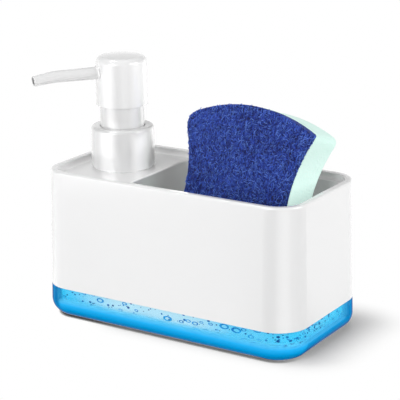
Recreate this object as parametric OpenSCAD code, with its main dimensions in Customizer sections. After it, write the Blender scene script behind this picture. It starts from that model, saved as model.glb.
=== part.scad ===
// Soap pump caddy: a box with a soap tank in its foot, a hand pump and a sponge well.
// The origin is the middle of the foot, on the table. X runs along the box towards the
// sponge, Y runs from the front to the back and Z is up.

/* [Caddy shell] */
// Length of the box at its rim
body_l = 150; // [147:1:180]
// Width of the box at its rim
body_w = 75; // [72:1:90]
// Height of the rim above the table
body_h = 80; // [76:1:92]
// Plan radius of the rim's corners
corner_r = 15; // [13:0.5:18]
// Draft of the outer walls, in degrees, wider at the foot
draft = 1.4; // [0.5:0.1:2]
// Thickness of the outer walls
wall_t = 2.2; // [1.8:0.1:2.6]
// Width of the rim
rim_t = 3.6; // [3.2:0.1:4.4]
// Rounding of the rim's outer edge
rim_round = 1.2; // [0.6:0.1:1.6]
// Rounding of the rim's inner edge
rim_soft = 0.8; // [0.4:0.1:1.2]
// Depth of the deck below the rim
deck_drop = 3.2; // [2.8:0.1:5]
// Thickness of the deck
deck_t = 2.2; // [1.8:0.1:3]
// Fillet between the deck and the rim
deck_fillet = 2.4; // [1:0.1:2.7]
// Height of the raised seat under the pump collar
seat_rise = 1.2; // [0.6:0.1:2]
// Radius of the seat under the pump collar
seat_r = 16; // [15:0.1:16.6]
// Thickness of the ribs inside the walls
rib_t = 1.4; // [1:0.1:2]
// Number of ribs on each long side of the well
rib_count = 6; // [3:1:8]
// Gap between the ribs and the tank's cover
rib_gap = 2; // [1:0.5:4]

/* [Sponge well] */
// Length of the pump deck, from the rim to the well
deck_l = 46; // [44.5:0.5:48]
// Width of the ledge round the well
ledge_w = 3; // [2:0.1:4]
// Plan radius of the well's corners
well_r = 9; // [7:0.5:12]
// Thickness of the well's walls and floor
well_t = 1.7; // [1.5:0.1:2.2]
// Draft of the well's walls, in degrees, narrower at the floor
well_draft = 0.6; // [0.2:0.1:1]
// Rounding between the well's walls and floor
well_round = 4; // [3:0.5:6]
// Rounding of the well's mouth
mouth_round = 1.4; // [0.6:0.1:1.6]

/* [Tank] */
// Height of the clear band, up to the seam
band_h = 17; // [15:0.5:20]
// Rounding of the tank's bottom edge
foot_round = 8; // [5:0.5:9]
// Thickness of the tray's walls
tray_t = 2.4; // [2:0.1:3]
// Thickness of the tray's floor
tray_floor_t = 2.6; // [2.4:0.1:3.2]
// Thickness of the cover's plate
cover_t = 1.6; // [1.4:0.1:2.4]
// Thickness of the shell's edge where it laps over the cover
lap_t = 1.1; // [0.8:0.1:1.3]
// Thickness of the tower's walls
tower_t = 1.8; // [1.4:0.1:2.2]
// Drop from the pump's socket down to the soap's level in the tower
soap_drop = 9; // [4:0.5:24]
// Length of the anti-slip pad
pad_l = 118; // [90:1:124]
// Width of the anti-slip pad
pad_w = 46; // [36:1:50]
// Plan radius of the anti-slip pad's corners
pad_r = 7.5; // [5:0.5:12]
// Thickness of the anti-slip pad
pad_t = 1; // [0.8:0.1:1.2]
// How far the pad stands out of the tray
pad_proud = 0.4; // [0.3:0.1:0.6]

/* [Pump place] */
// Distance from the box's left rim edge to the pump's axis
pump_from_left = 26; // [25.5:0.5:27]
// Distance of the pump's axis behind the box's middle
pump_back = 2; // [-2:0.5:4]
// Turn of the spout from straight left towards the front, in degrees
spout_turn = 55; // [0:1:70]

/* [Pump collar] */
// Radius of the collar at its foot
collar_r = 17; // [16.8:0.1:17.6]
// Height of the collar
collar_h = 21; // [19:0.5:24]
// Thickness of the collar's top
collar_top_t = 2.8; // [2:0.1:3.4]
// Rounding of the collar's top edge
collar_round = 1.6; // [0.8:0.1:2.2]
// Narrowing of the collar towards its top
collar_taper = 0.3; // [0:0.1:0.5]

/* [Pump body] */
// Radius of the tank's neck over its thread
neck_r = 13.75; // [13.5:0.05:14.2]
// Wall of the neck
neck_t = 2.8; // [2.2:0.1:3]
// Room for the thread between the neck and the collar
thread_gap = 0.25; // [0.1:0.05:0.3]
// Thickness of the neck gasket
gasket_t = 1.2; // [0.8:0.1:1.6]
// Radius of the housing's flange
flange_r = 13.2; // [12.6:0.1:13.4]
// Thickness of the housing's flange
flange_t = 1.4; // [1:0.1:2]
// Bore radius of the barrel
bore_r = 7; // [6.8:0.1:7.6]
// Wall of the barrel
barrel_t = 1.5; // [1.2:0.1:1.9]
// Thickness of the barrel's floor
barrel_floor_t = 2; // [1.6:0.1:2.6]
// Height of the cone under the barrel
cone_l = 3.5; // [2.5:0.1:4]
// Outer radius of the dip-tube socket
socket_r = 4.3; // [4:0.1:5]
// Length of the dip-tube socket
socket_l = 10; // [8:0.5:11]
// Outer radius of the dip tube
dip_r = 2.5; // [2.2:0.1:2.8]
// Bore radius of the dip tube
dip_bore_r = 1.7; // [1.2:0.1:1.8]
// Gap from the dip tube's end to the tray's floor
dip_gap = 1.6; // [1:0.1:3]
// Radius of the inlet ball
ball_r = 3; // [2.8:0.1:3.2]
// Lift of the inlet ball
ball_lift = 1.2; // [0.8:0.1:1.6]
// Thickness of the ball cage's top
cage_top_t = 1; // [0.8:0.1:1.4]
// Radius of the guide sleeve
guide_r = 11.75; // [11.2:0.05:11.9]
// Wall of the guide sleeve
guide_t = 1.75; // [1.4:0.05:2]
// Length of the guide's plug inside the barrel
plug_l = 5; // [3:0.5:7]
// Outer radius of the wiper seal
wiper_r = 6.2; // [5.6:0.1:6.4]
// Height of the wiper seal
wiper_h = 2; // [1.5:0.1:2.4]

/* [Plunger] */
// Travel of the head when pressed
stroke = 11; // [8:0.5:12]
// Radius of the stem
stem_r = 3.8; // [3.5:0.1:4]
// Bore radius of the stem
stem_bore_r = 2; // [1.6:0.1:2.1]
// Thickness of the stem's foot under the piston
stem_foot_t = 1.2; // [0.8:0.1:1.6]
// Height of the piston
piston_h = 9; // [7:0.5:10]
// Radius of the outlet ball
out_ball_r = 2.4; // [2.3:0.05:2.5]
// Lift of the outlet ball
out_ball_lift = 1.2; // [0.8:0.1:1.6]
// Mean radius of the spring
spring_r = 7.6; // [7.4:0.1:8]
// Wire radius of the spring
wire_r = 0.6; // [0.5:0.05:0.7]
// Number of turns in the spring
spring_turns = 7; // [5:1:8]

/* [Pump head] */
// Radius of the head at its skirt
head_r = 13.75; // [13.6:0.05:14.2]
// Height of the head
head_h = 26.4; // [26:0.2:29]
// Narrowing of the head towards its top
head_taper = 0.25; // [0:0.05:0.4]
// Rounding of the head's top edge
head_round = 3.4; // [2:0.2:4]
// Rise of the head's crown
crown_rise = 0.7; // [0.3:0.1:1.2]
// Wall of the skirt
skirt_t = 1.4; // [1:0.1:1.5]
// Thickness of the head's top
head_top_t = 2.2; // [1.8:0.1:2.6]
// Outer radius of the hub round the stem
hub_r = 5.6; // [5.2:0.1:6]
// Thickness of the webs inside the head
web_t = 1.2; // [0.9:0.1:1.6]
// Number of webs inside the head
web_count = 6; // [3:1:8]
// Gap between the pressed head and the collar
head_gap = 0.6; // [0.4:0.1:1]
// How far the skirt covers the guide sleeve
skirt_lap = 2.4; // [1.6:0.1:2.4]

/* [Spout] */
// Distance of the spout's axis below the head's top
spout_drop = 9; // [8.6:0.1:9.2]
// Outer radius of the spout at the head
spout_r = 3.3; // [3:0.05:3.4]
// Outer radius of the spout at its bend
spout_bend_r = 3.1; // [2.9:0.05:3.2]
// Outer radius of the spout at its tip
spout_tip_r = 2.7; // [2.5:0.05:2.9]
// Bore radius of the spout
spout_bore_r = 1.9; // [1.4:0.05:2]
// Length of the straight part outside the head
spout_l = 23.4; // [18:0.2:30]
// Length of the drooping tip
tip_l = 11.4; // [6:0.2:14]
// Swell of the ball at the bend, past the tube
knee_swell = 0.1; // [0.05:0.05:0.2]
// Angle of the drooping tip, in degrees
tip_angle = 7.5; // [0:0.5:20]
// Fillet where the spout leaves the head
root_fillet = 1.1; // [0.5:0.1:1.4]

/* [Sponge] */
// Width of the sponge at its ends
sponge_w = 83.6; // [76:0.2:85]
// Width of the sponge at its waist
waist_w = 64; // [56:0.5:72]
// Height of the sponge over its crowned ends
sponge_l = 92; // [86:0.5:100]
// Rise of the crowned ends
sponge_crown = 9.9; // [4:0.1:12]
// Rounding of the sponge's corners
sponge_corner = 6; // [4:0.5:8]
// Rounding of the scouring pad's right corners
scour_corner = 1.2; // [1:0.1:6]
// Thickness of the foam
foam_t = 19; // [15:0.5:21]
// Thickness of the scouring pad
scour_t = 6; // [4:0.5:7]
// Distance of the sponge's foot behind the well's front edge
sponge_foot = 35.2; // [32:0.2:37]
// Shift of the sponge to the right of the well's middle
sponge_shift = 1.5; // [0:0.1:2]
// Turn of the sponge in the well, in degrees
sponge_turn = 11.3; // [4:0.1:12]
// Tilt of the sponge in its own plane, in degrees
sponge_tilt = 2.2; // [0:0.1:3]

/* [Fits] */
// Clearance between pieces that are put together by hand
hand_gap = 0.35; // [0.3:0.05:0.5]
// Running clearance between a moving shaft and its hole
run_gap = 0.05; // [0.02:0.01:0.08]
// Gap between the tower and the shell round it
tower_gap = 1.2; // [0.8:0.1:1.6]
// Play left where a moving piece meets its stop
stop_gap = 0.4; // [0.3:0.05:0.6]
// Gap between the soap and the tank
soap_gap = 0.15; // [0.1:0.05:0.3]

/* [Hidden] */
$fn = 64;

// One overrun serves every cut
cut = 0.5;

// Box: the corner centres stay put over the height, and the corner radius grows downwards
slope = tan(draft);
half_x = body_l / 2 - corner_r;
half_y = body_w / 2 - corner_r;
deck_z = body_h - deck_drop;
deck_under = deck_z - deck_t;
cover_top = band_h + cover_t;

// Well: its mouth lies in the deck, inside the ledge
rim_in_x = body_l / 2 - rim_t;
rim_in_y = body_w / 2 - rim_t;
well_x0 = deck_l - rim_in_x;
well_x1 = rim_in_x - ledge_w;
well_y1 = rim_in_y - ledge_w;
well_mid = (well_x0 + well_x1) / 2;
well_half_x = (well_x1 - well_x0) / 2 - well_r;
well_half_y = well_y1 - well_r;
well_slope = tan(well_draft);
well_under = cover_top + stop_gap;
well_floor = well_under + well_t;

// Tower of the tank, between the shell's left wall and the well
tower_x0 = -half_x - body_r(deck_under) + wall_t + tower_gap;
tower_x1 = well_x0 - well_t - tower_gap;
tower_r = body_r(deck_under) - wall_t - tower_gap;
tower_mid = (tower_x0 + tower_x1) / 2;
tower_half_x = (tower_x1 - tower_x0) / 2 - tower_r;
tower_half_y = half_y;
tower_top = deck_under - stop_gap;
neck_z = tower_top - tower_t;

// Pump: the collar stands on its seat, and the stack under its top gives the neck's height
pump_x = pump_from_left - body_l / 2;
pump_y = pump_back;
collar_z = deck_z + seat_rise;
collar_top = collar_z + collar_h;
stack_top = collar_top - collar_top_t - run_gap;
guide_z = stack_top - flange_t;
flange_z = guide_z - flange_t;
neck_top = flange_z - gasket_t;
sleeve_hole_r = guide_r + hand_gap;

// Stem and piston: the piston stops under the guide's plug
plug_z = guide_z - plug_l;
piston_top = plug_z - stop_gap;
piston_z = piston_top - piston_h;
foot_share = 0.75;
stem_foot_r = bore_r * foot_share;
stem_z = piston_z - stem_foot_t;

// The inlet ball rests on the edge of its hole and lifts to the edge of the cage's hole
seat_share = 0.7;
seat_hole_r = ball_r * seat_share;
cage_share = 0.6;
cage_hole_r = ball_r * cage_share;
cage_room_r = ball_r + stop_gap;
ball_rest = sqrt(ball_r * ball_r - seat_hole_r * seat_hole_r) + run_gap;
cage_room_h = ball_rest + ball_lift + run_gap + sqrt(ball_r * ball_r - cage_hole_r * cage_hole_r);
cage_h = cage_room_h + cage_top_t;

// Housing: the cage leaves the pressed stem its room, and the rest follows downwards
ball_floor = stem_z - stroke - stop_gap - cage_h;
ball_z = ball_floor + ball_rest;
barrel_z = ball_floor - barrel_floor_t;
barrel_r = bore_r + barrel_t;
socket_z = barrel_z - socket_l;
soap_level = socket_z - soap_drop;
dip_grip = socket_l - cone_l;
dip_z = pad_proud + tray_floor_t + dip_gap;

// Head: its skirt hangs over the guide sleeve and clears the collar when pressed
head_z = collar_top + stroke + head_gap;
head_top = head_z + head_h;
head_ceiling = head_top - head_top_t;
guide_top = head_z + skirt_lap;
spring_seat = guide_top + stroke + stop_gap;
skirt_in_r = head_r - skirt_t;
wiper_top = stack_top + wiper_h;
hub_z = wiper_top + stroke + stop_gap;
spout_z = head_top - spout_drop;
spout_root = hub_r - web_t;
root_r = spout_r + root_fillet;
head_skin = head_r - head_taper;

// The outlet ball rests in the stem's top and lifts to the edge of the head's channel
stem_top = spring_seat - run_gap;
out_room_r = out_ball_r + stop_gap;
stop_share = 0.85;
out_stop_r = out_ball_r * stop_share;
out_stop = spring_seat - sqrt(out_ball_r * out_ball_r - out_stop_r * out_stop_r);
out_ball_z = out_stop - out_ball_lift - run_gap;
out_seat_z = out_ball_z - sqrt(out_ball_r * out_ball_r - stem_bore_r * stem_bore_r) - run_gap;

// Spring: one tube with flat first and last rings, 8 rings of 6 sides a turn
turn_rings = 8;
wire_sides = 6;
spring_z0 = stack_top + wire_r + run_gap;
spring_z1 = spring_seat - wire_r - run_gap;
end_turns = 1;
coil_turns = spring_turns - 2 * end_turns;
end_pitch = 2 * wire_r + cut;
coil_pitch = (spring_z1 - spring_z0 - 2 * end_turns * end_pitch) / coil_turns;

// Sponge: it stands on its lower back edge and leans on the well's back edge
sponge_t = foam_t + scour_t;
sponge_half_l = sponge_l / 2 - sponge_crown;
end_half = sponge_w / 2;
foot_y = sponge_foot - well_y1;
foot_z = well_floor + hand_gap;
lean_half = side_x(deck_z - foot_z - sponge_l / 2);
lean_reach = well_y1 - foot_y - lean_half * sin(sponge_turn) - hand_gap;
lean = atan(lean_reach / (deck_z - foot_z));
arch_points = 24;
side_points = 20;
corner_points = 6;

function body_r(z) = corner_r + (body_h - z) * slope;
function side_x(z) = waist_w / 2 + (end_half - waist_w / 2) * pow(z / sponge_half_l, 2);
function crown_z(x) = sponge_half_l + sponge_crown * (1 - pow(x / end_half, 2));
function well_rad(z) = well_r - (deck_z - z) * well_slope;

// Sweeps a profile round a rounded rectangle; x is the distance from a corner's centre
module swept_ring(hx, hy) {
    for (q = [0:3]) {
        sx = (q == 0 || q == 3) ? 1 : -1;
        sy = q < 2 ? 1 : -1;
        translate([sx * hx, sy * hy, 0]) rotate([0, 0, 90 * q]) rotate_extrude(angle = 90) children();
    }
    for (s = [0, 1]) {
        mirror([0, s, 0]) translate([0, hy, 0]) rotate([90, 0, 90])
            linear_extrude(2 * hx, center = true) children();
        mirror([s, 0, 0]) translate([hx, 0, 0]) rotate([90, 0, 0])
            linear_extrude(2 * hy, center = true) children();
    }
}

// The same sweep with its middle filled from z0 to z1
module swept_block(hx, hy, z0, z1) {
    swept_ring(hx, hy) children();
    translate([-hx, -hy, z0]) cube([2 * hx, 2 * hy, z1 - z0]);
}

// Upright rounded slab with its corner centres at hx and hy
module rounded_slab(hx, hy, r, z0, z1) {
    translate([0, 0, z0]) linear_extrude(z1 - z0) {
        square([2 * (hx + r), 2 * hy], center = true);
        square([2 * hx, 2 * (hy + r)], center = true);
        for (sx = [-1, 1], sy = [-1, 1]) translate([sx * hx, sy * hy]) circle(r);
    }
}

// Quarter disc that points outwards and up, or outwards and down
module quarter_up(r) {
    intersection() {
        circle(r);
        square(r);
    }
}

module quarter_down(r) {
    mirror([0, 1]) quarter_up(r);
}

// Radial profile of the box between two heights, taken in by inset
module body_profile(z0, z1, inset) {
    polygon([[0, z0], [body_r(z0) - inset, z0], [body_r(z1) - inset, z1], [0, z1]]);
}

// Box profile whose top edge is rounded
module shell_profile() {
    edge_z = body_h - rim_round;
    edge_r = body_r(edge_z) - rim_round;
    body_profile(band_h, edge_z, 0);
    translate([0, edge_z]) square([edge_r, rim_round]);
    translate([edge_r, edge_z]) quarter_up(rim_round);
}

// Recess above the deck, with its bottom fillet and the soft inner edge of the rim
module recess_profile() {
    in_r = corner_r - rim_t;
    flat_r = in_r - deck_fillet;
    translate([0, deck_z]) square([flat_r, deck_drop + cut]);
    translate([flat_r, deck_z + deck_fillet]) quarter_down(deck_fillet);
    translate([0, deck_z + deck_fillet]) square([in_r, deck_drop - deck_fillet + cut]);
    difference() {
        translate([in_r, body_h - rim_soft]) square([rim_soft, rim_soft + cut]);
        translate([in_r + rim_soft, body_h - rim_soft]) circle(rim_soft);
    }
}

// Profile of the well, grown by t for its outside
module well_profile(t) {
    z0 = well_floor - t;
    round_r = well_round + t;
    edge_r = well_rad(z0 + round_r) + t;
    translate([0, z0]) square([edge_r - round_r, round_r]);
    translate([edge_r - round_r, z0 + round_r]) quarter_down(round_r);
    polygon([[0, z0 + round_r], [edge_r, z0 + round_r], [well_r + t, deck_z], [0, deck_z]]);
}

module well_block(t) {
    translate([well_mid, 0, 0]) swept_block(well_half_x, well_half_y, well_floor - t, deck_z)
        well_profile(t);
}

// Cut that rounds the well's mouth
module mouth_cut() {
    translate([well_mid, 0, 0]) {
        swept_block(well_half_x, well_half_y, deck_z - cut, deck_z + cut)
            translate([0, deck_z - cut]) square([well_r, 2 * cut]);
        swept_ring(well_half_x, well_half_y) difference() {
            translate([well_r - cut, deck_z - mouth_round]) square([mouth_round + cut, mouth_round + cut]);
            translate([well_r + mouth_round, deck_z - mouth_round]) circle(mouth_round);
            translate([well_r - cut, deck_z - mouth_round]) square([cut, mouth_round - cut]);
        }
    }
}

// Ribs that tie the outer walls to the well
module wall_ribs() {
    rib_z = cover_top + rib_gap;
    step = 2 * well_half_x / (rib_count - 1);
    for (i = [0:rib_count - 1])
        translate([well_mid - well_half_x + i * step - rib_t / 2, -body_w, rib_z])
            cube([rib_t, 2 * body_w, deck_z - rib_z]);
    for (s = [-1, 1])
        translate([well_mid, s * well_half_y - rib_t / 2, rib_z])
            cube([body_l, rib_t, deck_z - rib_z]);
}

module caddy_shell() color("white") difference() {
    union() {
        difference() {
            swept_block(half_x, half_y, band_h, body_h) shell_profile();
            difference() {
                swept_block(half_x, half_y, band_h - cut, deck_under)
                    body_profile(band_h - cut, deck_under, wall_t);
                well_block(well_t);
                wall_ribs();
            }
            swept_block(half_x, half_y, band_h - cut, cover_top + stop_gap)
                body_profile(band_h - cut, cover_top + stop_gap, lap_t);
            swept_block(half_x, half_y, deck_z, body_h + cut) recess_profile();
        }
        translate([pump_x, pump_y, deck_under]) cylinder(r = seat_r, h = collar_z - deck_under);
    }
    well_block(0);
    mouth_cut();
    translate([pump_x, pump_y, deck_under - cut])
        cylinder(r = neck_r + hand_gap, h = collar_z - deck_under + 2 * cut);
}

// Tray profile: drafted wall, flat bottom and rounded foot, taken in by t and lifted to z0
module tray_profile(t, z0, z1) {
    round_r = foot_round - t;
    edge_z = z0 + round_r;
    edge_r = body_r(edge_z) - t;
    translate([0, z0]) square([edge_r - round_r, round_r]);
    translate([edge_r - round_r, edge_z]) quarter_down(round_r);
    body_profile(edge_z, z1, t);
}

module tank_tray() color("deepskyblue", 0.4) difference() {
    swept_block(half_x, half_y, pad_proud, band_h) tray_profile(0, pad_proud, band_h);
    swept_block(half_x, half_y, pad_proud + tray_floor_t, band_h + cut)
        tray_profile(tray_t, pad_proud + tray_floor_t, band_h + cut);
    pad_solid(pad_t, hand_gap);
}

// Pad from the table up, grown by g all round
module pad_solid(h, g) {
    rounded_slab(pad_l / 2 - pad_r, pad_w / 2 - pad_r, pad_r + g, 0, h);
}

module base_pad() color("dimgray") pad_solid(pad_t, 0);

module tower_block(inset, z0, z1) {
    translate([tower_mid, 0, 0]) rounded_slab(tower_half_x, tower_half_y, tower_r - inset, z0, z1);
}

module tank_cover() color("aliceblue", 0.6) difference() {
    union() {
        swept_block(half_x, half_y, band_h, cover_top)
            body_profile(band_h, cover_top, lap_t + soap_gap);
        tower_block(0, band_h, tower_top);
        translate([pump_x, pump_y, neck_z]) cylinder(r = neck_r, h = neck_top - neck_z);
    }
    tower_block(tower_t, band_h - cut, neck_z);
    translate([pump_x, pump_y, neck_z - cut])
        cylinder(r = neck_r - neck_t, h = neck_top - neck_z + 2 * cut);
}

module liquid_soap() color("dodgerblue") difference() {
    soap_z = pad_proud + tray_floor_t + soap_gap;
    union() {
        swept_block(half_x, half_y, soap_z, band_h - soap_gap)
            tray_profile(tray_t + soap_gap, soap_z, band_h - soap_gap);
        tower_block(tower_t + soap_gap, band_h / 2, soap_level);
    }
    translate([pump_x, pump_y, dip_z - hand_gap]) cylinder(r = dip_r + hand_gap, h = soap_level);
}

// Ring on the pump's axis
module pump_ring(r, bore, z0, z1) {
    translate([pump_x, pump_y, z0]) difference() {
        cylinder(r = r, h = z1 - z0);
        translate([0, 0, -cut]) cylinder(r = bore, h = z1 - z0 + 2 * cut);
    }
}

module neck_gasket() color("gainsboro") pump_ring(flange_r, barrel_r, neck_top, flange_z);

module pump_collar() color("white") translate([pump_x, pump_y, 0]) difference() {
    rotate_extrude() {
        edge_r = collar_r - collar_taper - collar_round;
        polygon([[0, collar_z], [collar_r, collar_z],
                 [edge_r + collar_round, collar_top - collar_round], [0, collar_top - collar_round]]);
        translate([0, collar_top - collar_round]) square([edge_r, collar_round]);
        translate([edge_r, collar_top - collar_round]) quarter_up(collar_round);
    }
    translate([0, 0, collar_z - cut])
        cylinder(r = neck_r + thread_gap, h = collar_h - collar_top_t + cut);
    translate([0, 0, collar_z]) cylinder(r = sleeve_hole_r, h = collar_h + cut);
}

module pump_housing() color("whitesmoke") translate([pump_x, pump_y, 0]) difference() {
    rotate_extrude() polygon([
        [0, socket_z], [socket_r, socket_z], [socket_r, barrel_z - cone_l], [barrel_r, barrel_z],
        [barrel_r, flange_z], [flange_r, flange_z], [flange_r, guide_z], [0, guide_z]]);
    translate([0, 0, ball_floor]) cylinder(r = bore_r, h = guide_z - ball_floor + cut);
    translate([0, 0, socket_z]) cylinder(r = seat_hole_r, h = socket_l + barrel_floor_t + cut);
    translate([0, 0, socket_z - cut]) cylinder(r = dip_r, h = dip_grip + cut);
}

module dip_tube() color("whitesmoke") pump_ring(dip_r, dip_bore_r, dip_z, socket_z + dip_grip);

// Cage on the barrel's floor, with side windows and a hole that stops the ball
module ball_cage() color("white") translate([pump_x, pump_y, ball_floor]) difference() {
    cylinder(r = bore_r, h = cage_h);
    translate([0, 0, -cut]) cylinder(r = cage_room_r, h = cage_room_h + cut);
    translate([0, 0, -cut]) cylinder(r = cage_hole_r, h = cage_h + 2 * cut);
    for (a = [0, 90]) rotate([0, 0, a])
        translate([-bore_r, -cage_hole_r / 2, -cut])
            cube([2 * bore_r, cage_hole_r, cage_room_h + cut]);
}

module inlet_ball() color("silver") translate([pump_x, pump_y, ball_z]) sphere(ball_r);

// Sleeve, clamped flange and the plug that stops the piston
module guide_sleeve() color("white") translate([pump_x, pump_y, 0]) rotate_extrude() {
    edge_t = guide_t / 2;
    in_r = guide_r - guide_t;
    hole_r = stem_r + run_gap;
    translate([hole_r, guide_z]) square([flange_r - hole_r, flange_t]);
    translate([hole_r, plug_z]) square([bore_r - hole_r, plug_l]);
    translate([in_r, guide_z]) square([guide_t, guide_top - guide_z - edge_t]);
    translate([in_r + edge_t, guide_top - edge_t]) circle(edge_t);
}

module wiper_seal() color("gray") pump_ring(wiper_r, stem_r + run_gap, stack_top, wiper_top);

module stem() color("white") translate([pump_x, pump_y, 0]) difference() {
    union() {
        translate([0, 0, stem_z]) cylinder(r = stem_r, h = stem_top - stem_z);
        translate([0, 0, stem_z]) cylinder(r = stem_foot_r, h = stem_foot_t);
    }
    translate([0, 0, stem_z - cut]) cylinder(r = stem_bore_r, h = stem_top - stem_z + 2 * cut);
    translate([0, 0, out_seat_z]) cylinder(r = out_room_r, h = stem_top - out_seat_z + cut);
}

// Piston with a thin lip at each end and a waist between them
module piston() color("gainsboro") translate([pump_x, pump_y, 0]) rotate_extrude() {
    lip_share = 0.2;
    lip_h = piston_h * lip_share;
    waist_r = (stem_r + bore_r) / 2 + run_gap;
    polygon([[stem_r, piston_z], [bore_r - run_gap, piston_z], [bore_r - run_gap, piston_z + lip_h],
             [waist_r, piston_z + 2 * lip_h], [waist_r, piston_top - 2 * lip_h],
             [bore_r - run_gap, piston_top - lip_h], [bore_r - run_gap, piston_top],
             [stem_r, piston_top]]);
}

module outlet_ball() color("silver") translate([pump_x, pump_y, out_ball_z]) sphere(out_ball_r);

// Height of the spring's centre line after t turns: close end turns, open turns between them
function coil_z(t) = spring_z0 + min(t, end_turns) * end_pitch
    + max(0, min(t - end_turns, coil_turns)) * coil_pitch
    + max(0, t - end_turns - coil_turns) * end_pitch;
function coil_rings() = spring_turns * turn_rings;
function coil_point(i, k) =
    let (a = 360 * i / turn_rings, b = 360 * k / wire_sides, r = spring_r + wire_r * cos(b))
    [r * cos(a), r * sin(a), coil_z(i / turn_rings) + wire_r * sin(b)];

module return_spring() color("silver") translate([pump_x, pump_y, 0]) {
    points = [for (i = [0:coil_rings()], k = [0:wire_sides - 1]) coil_point(i, k)];
    sides = [for (i = [0:coil_rings() - 1], k = [0:wire_sides - 1])
        let (a = i * wire_sides + k, b = i * wire_sides + (k + 1) % wire_sides)
        each [[a, b, b + wire_sides], [a, b + wire_sides, a + wire_sides]]];
    last = coil_rings() * wire_sides;
    ends = [for (k = [1:wire_sides - 2]) each [[0, k + 1, k], [last, last + k, last + k + 1]]];
    polyhedron(points, concat(sides, ends));
}

module pump_head() color("white") translate([pump_x, pump_y, 0]) difference() {
    union() {
        difference() {
            head_outside();
            translate([0, 0, head_z - cut]) cylinder(r = skirt_in_r, h = head_ceiling - head_z + cut);
        }
        translate([0, 0, hub_z]) cylinder(r = hub_r, h = head_ceiling - hub_z);
        intersection() {
            translate([0, 0, spring_seat])
                cylinder(r = (skirt_in_r + head_skin) / 2, h = head_ceiling - spring_seat);
            union() {
                for (i = [0:web_count - 1]) rotate([0, 0, 360 * i / web_count])
                    translate([0, -web_t / 2, spring_seat]) cube([head_r, web_t, head_h]);
                spout_axis() cylinder(r = root_r, h = head_skin);
            }
        }
        spout_axis() spout_root_fillet();
    }
    translate([0, 0, hub_z - cut]) cylinder(r = stem_r + run_gap, h = spring_seat - hub_z + cut);
    translate([0, 0, hub_z]) cylinder(r = out_stop_r, h = spout_z - hub_z);
    spout_axis() {
        cylinder(r = spout_bore_r, h = hub_r);
        translate([0, 0, spout_root]) cylinder(r = spout_r, h = head_r);
    }
}

// Turned body of the head: tapered skirt, rounded edge and a low crown
module head_outside() {
    edge_z = head_top - crown_rise - head_round;
    edge_r = head_skin - head_round;
    crown_r = (edge_r * edge_r + crown_rise * crown_rise) / (2 * crown_rise);
    rotate_extrude() {
        polygon([[0, head_z], [head_r, head_z], [head_skin, edge_z], [0, edge_z]]);
        translate([0, edge_z]) square([edge_r, head_round]);
        translate([edge_r, edge_z]) quarter_up(head_round);
        intersection() {
            translate([0, head_top - crown_r]) circle(crown_r);
            translate([0, edge_z]) square([edge_r, head_top - edge_z]);
        }
    }
}

// Places things along the spout: their Z axis runs outwards from the pump's axis
module spout_axis() {
    translate([0, 0, spout_z]) rotate([0, 0, 180 + spout_turn]) rotate([0, 90, 0]) children();
}

module spout_root_fillet() rotate_extrude() {
    side = head_skin - root_fillet;
    translate([spout_r - cut, side]) square([root_fillet + cut, root_fillet]);
    difference() {
        translate([spout_r - cut, head_skin]) square([root_fillet + cut, root_fillet]);
        translate([root_r, head_skin + root_fillet]) circle(root_fillet);
    }
}

// Straight run, ball at the bend and drooping tip, each with its own radius
module spout_tube(r0, r1, r2, over) {
    rotate([0, 90, 0]) {
        translate([0, 0, spout_root - over]) cylinder(r = r0, h = head_skin - spout_root + over);
        translate([0, 0, head_skin]) cylinder(r1 = r0, r2 = r1, h = spout_l);
    }
    translate([head_skin + spout_l, 0, 0]) {
        sphere(r1 + knee_swell);
        rotate([0, 90 + tip_angle, 0]) cylinder(r1 = r1, r2 = r2, h = tip_l + over);
    }
}

module spout() color("white")
    translate([pump_x, pump_y, spout_z]) rotate([0, 0, 180 + spout_turn]) difference() {
        spout_tube(spout_r, spout_bend_r, spout_tip_r, 0);
        spout_tube(spout_bore_r, spout_bore_r, spout_bore_r, cut);
    }

// Outline of the sponge: waisted sides, crowned ends and rounded corners
function corner_point(t, r) =
    pow(1 - t, 2) * [side_x(sponge_half_l - r), sponge_half_l - r]
    + 2 * t * (1 - t) * [end_half, sponge_half_l]
    + t * t * [end_half - r, crown_z(end_half - r)];
function quarter(r) = concat(
    [for (i = [0:side_points / 2])
        let (z = (sponge_half_l - r) * i / (side_points / 2)) [side_x(z), z]],
    [for (i = [1:corner_points]) corner_point(i / corner_points, r)],
    [for (i = [1:arch_points / 2])
        let (x = (end_half - r) * (1 - i / (arch_points / 2))) [x, crown_z(x)]]);
function flipped(points, sx, sz) = [for (p = points) [sx * p.x, sz * p.y]];
function reversed(points) = [for (i = [len(points) - 1:-1:0]) points[i]];
function without_ends(points) = [for (i = [1:len(points) - 2]) points[i]];
function sponge_outline(right_r) = concat(
    quarter(right_r), reversed(without_ends(flipped(quarter(sponge_corner), -1, 1))),
    flipped(quarter(sponge_corner), -1, -1), reversed(without_ends(flipped(quarter(right_r), 1, -1))));

// Slab of the sponge between two depths behind its scouring face, standing in the well
module sponge_slab(y0, y1, right_r) {
    translate([well_mid + sponge_shift, foot_y, foot_z]) rotate([0, 0, -sponge_turn]) rotate([-lean, 0, 0])
        translate([0, -sponge_t, sponge_l / 2])
        rotate([0, -sponge_tilt, 0])
        translate([0, y1, 0]) rotate([90, 0, 0]) linear_extrude(y1 - y0)
            polygon(sponge_outline(right_r));
}

module scouring_pad() color("royalblue") sponge_slab(0, scour_t, scour_corner);

module sponge_foam() color("honeydew") sponge_slab(scour_t, sponge_t, sponge_corner);

caddy_shell();
tank_tray();
tank_cover();
liquid_soap();
base_pad();
neck_gasket();
pump_collar();
pump_housing();
guide_sleeve();
wiper_seal();
dip_tube();
ball_cage();
inlet_ball();
stem();
piston();
outlet_ball();
return_spring();
pump_head();
spout();
sponge_foam();
scouring_pad();
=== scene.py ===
import bpy, math
from mathutils import Vector, Matrix


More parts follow.
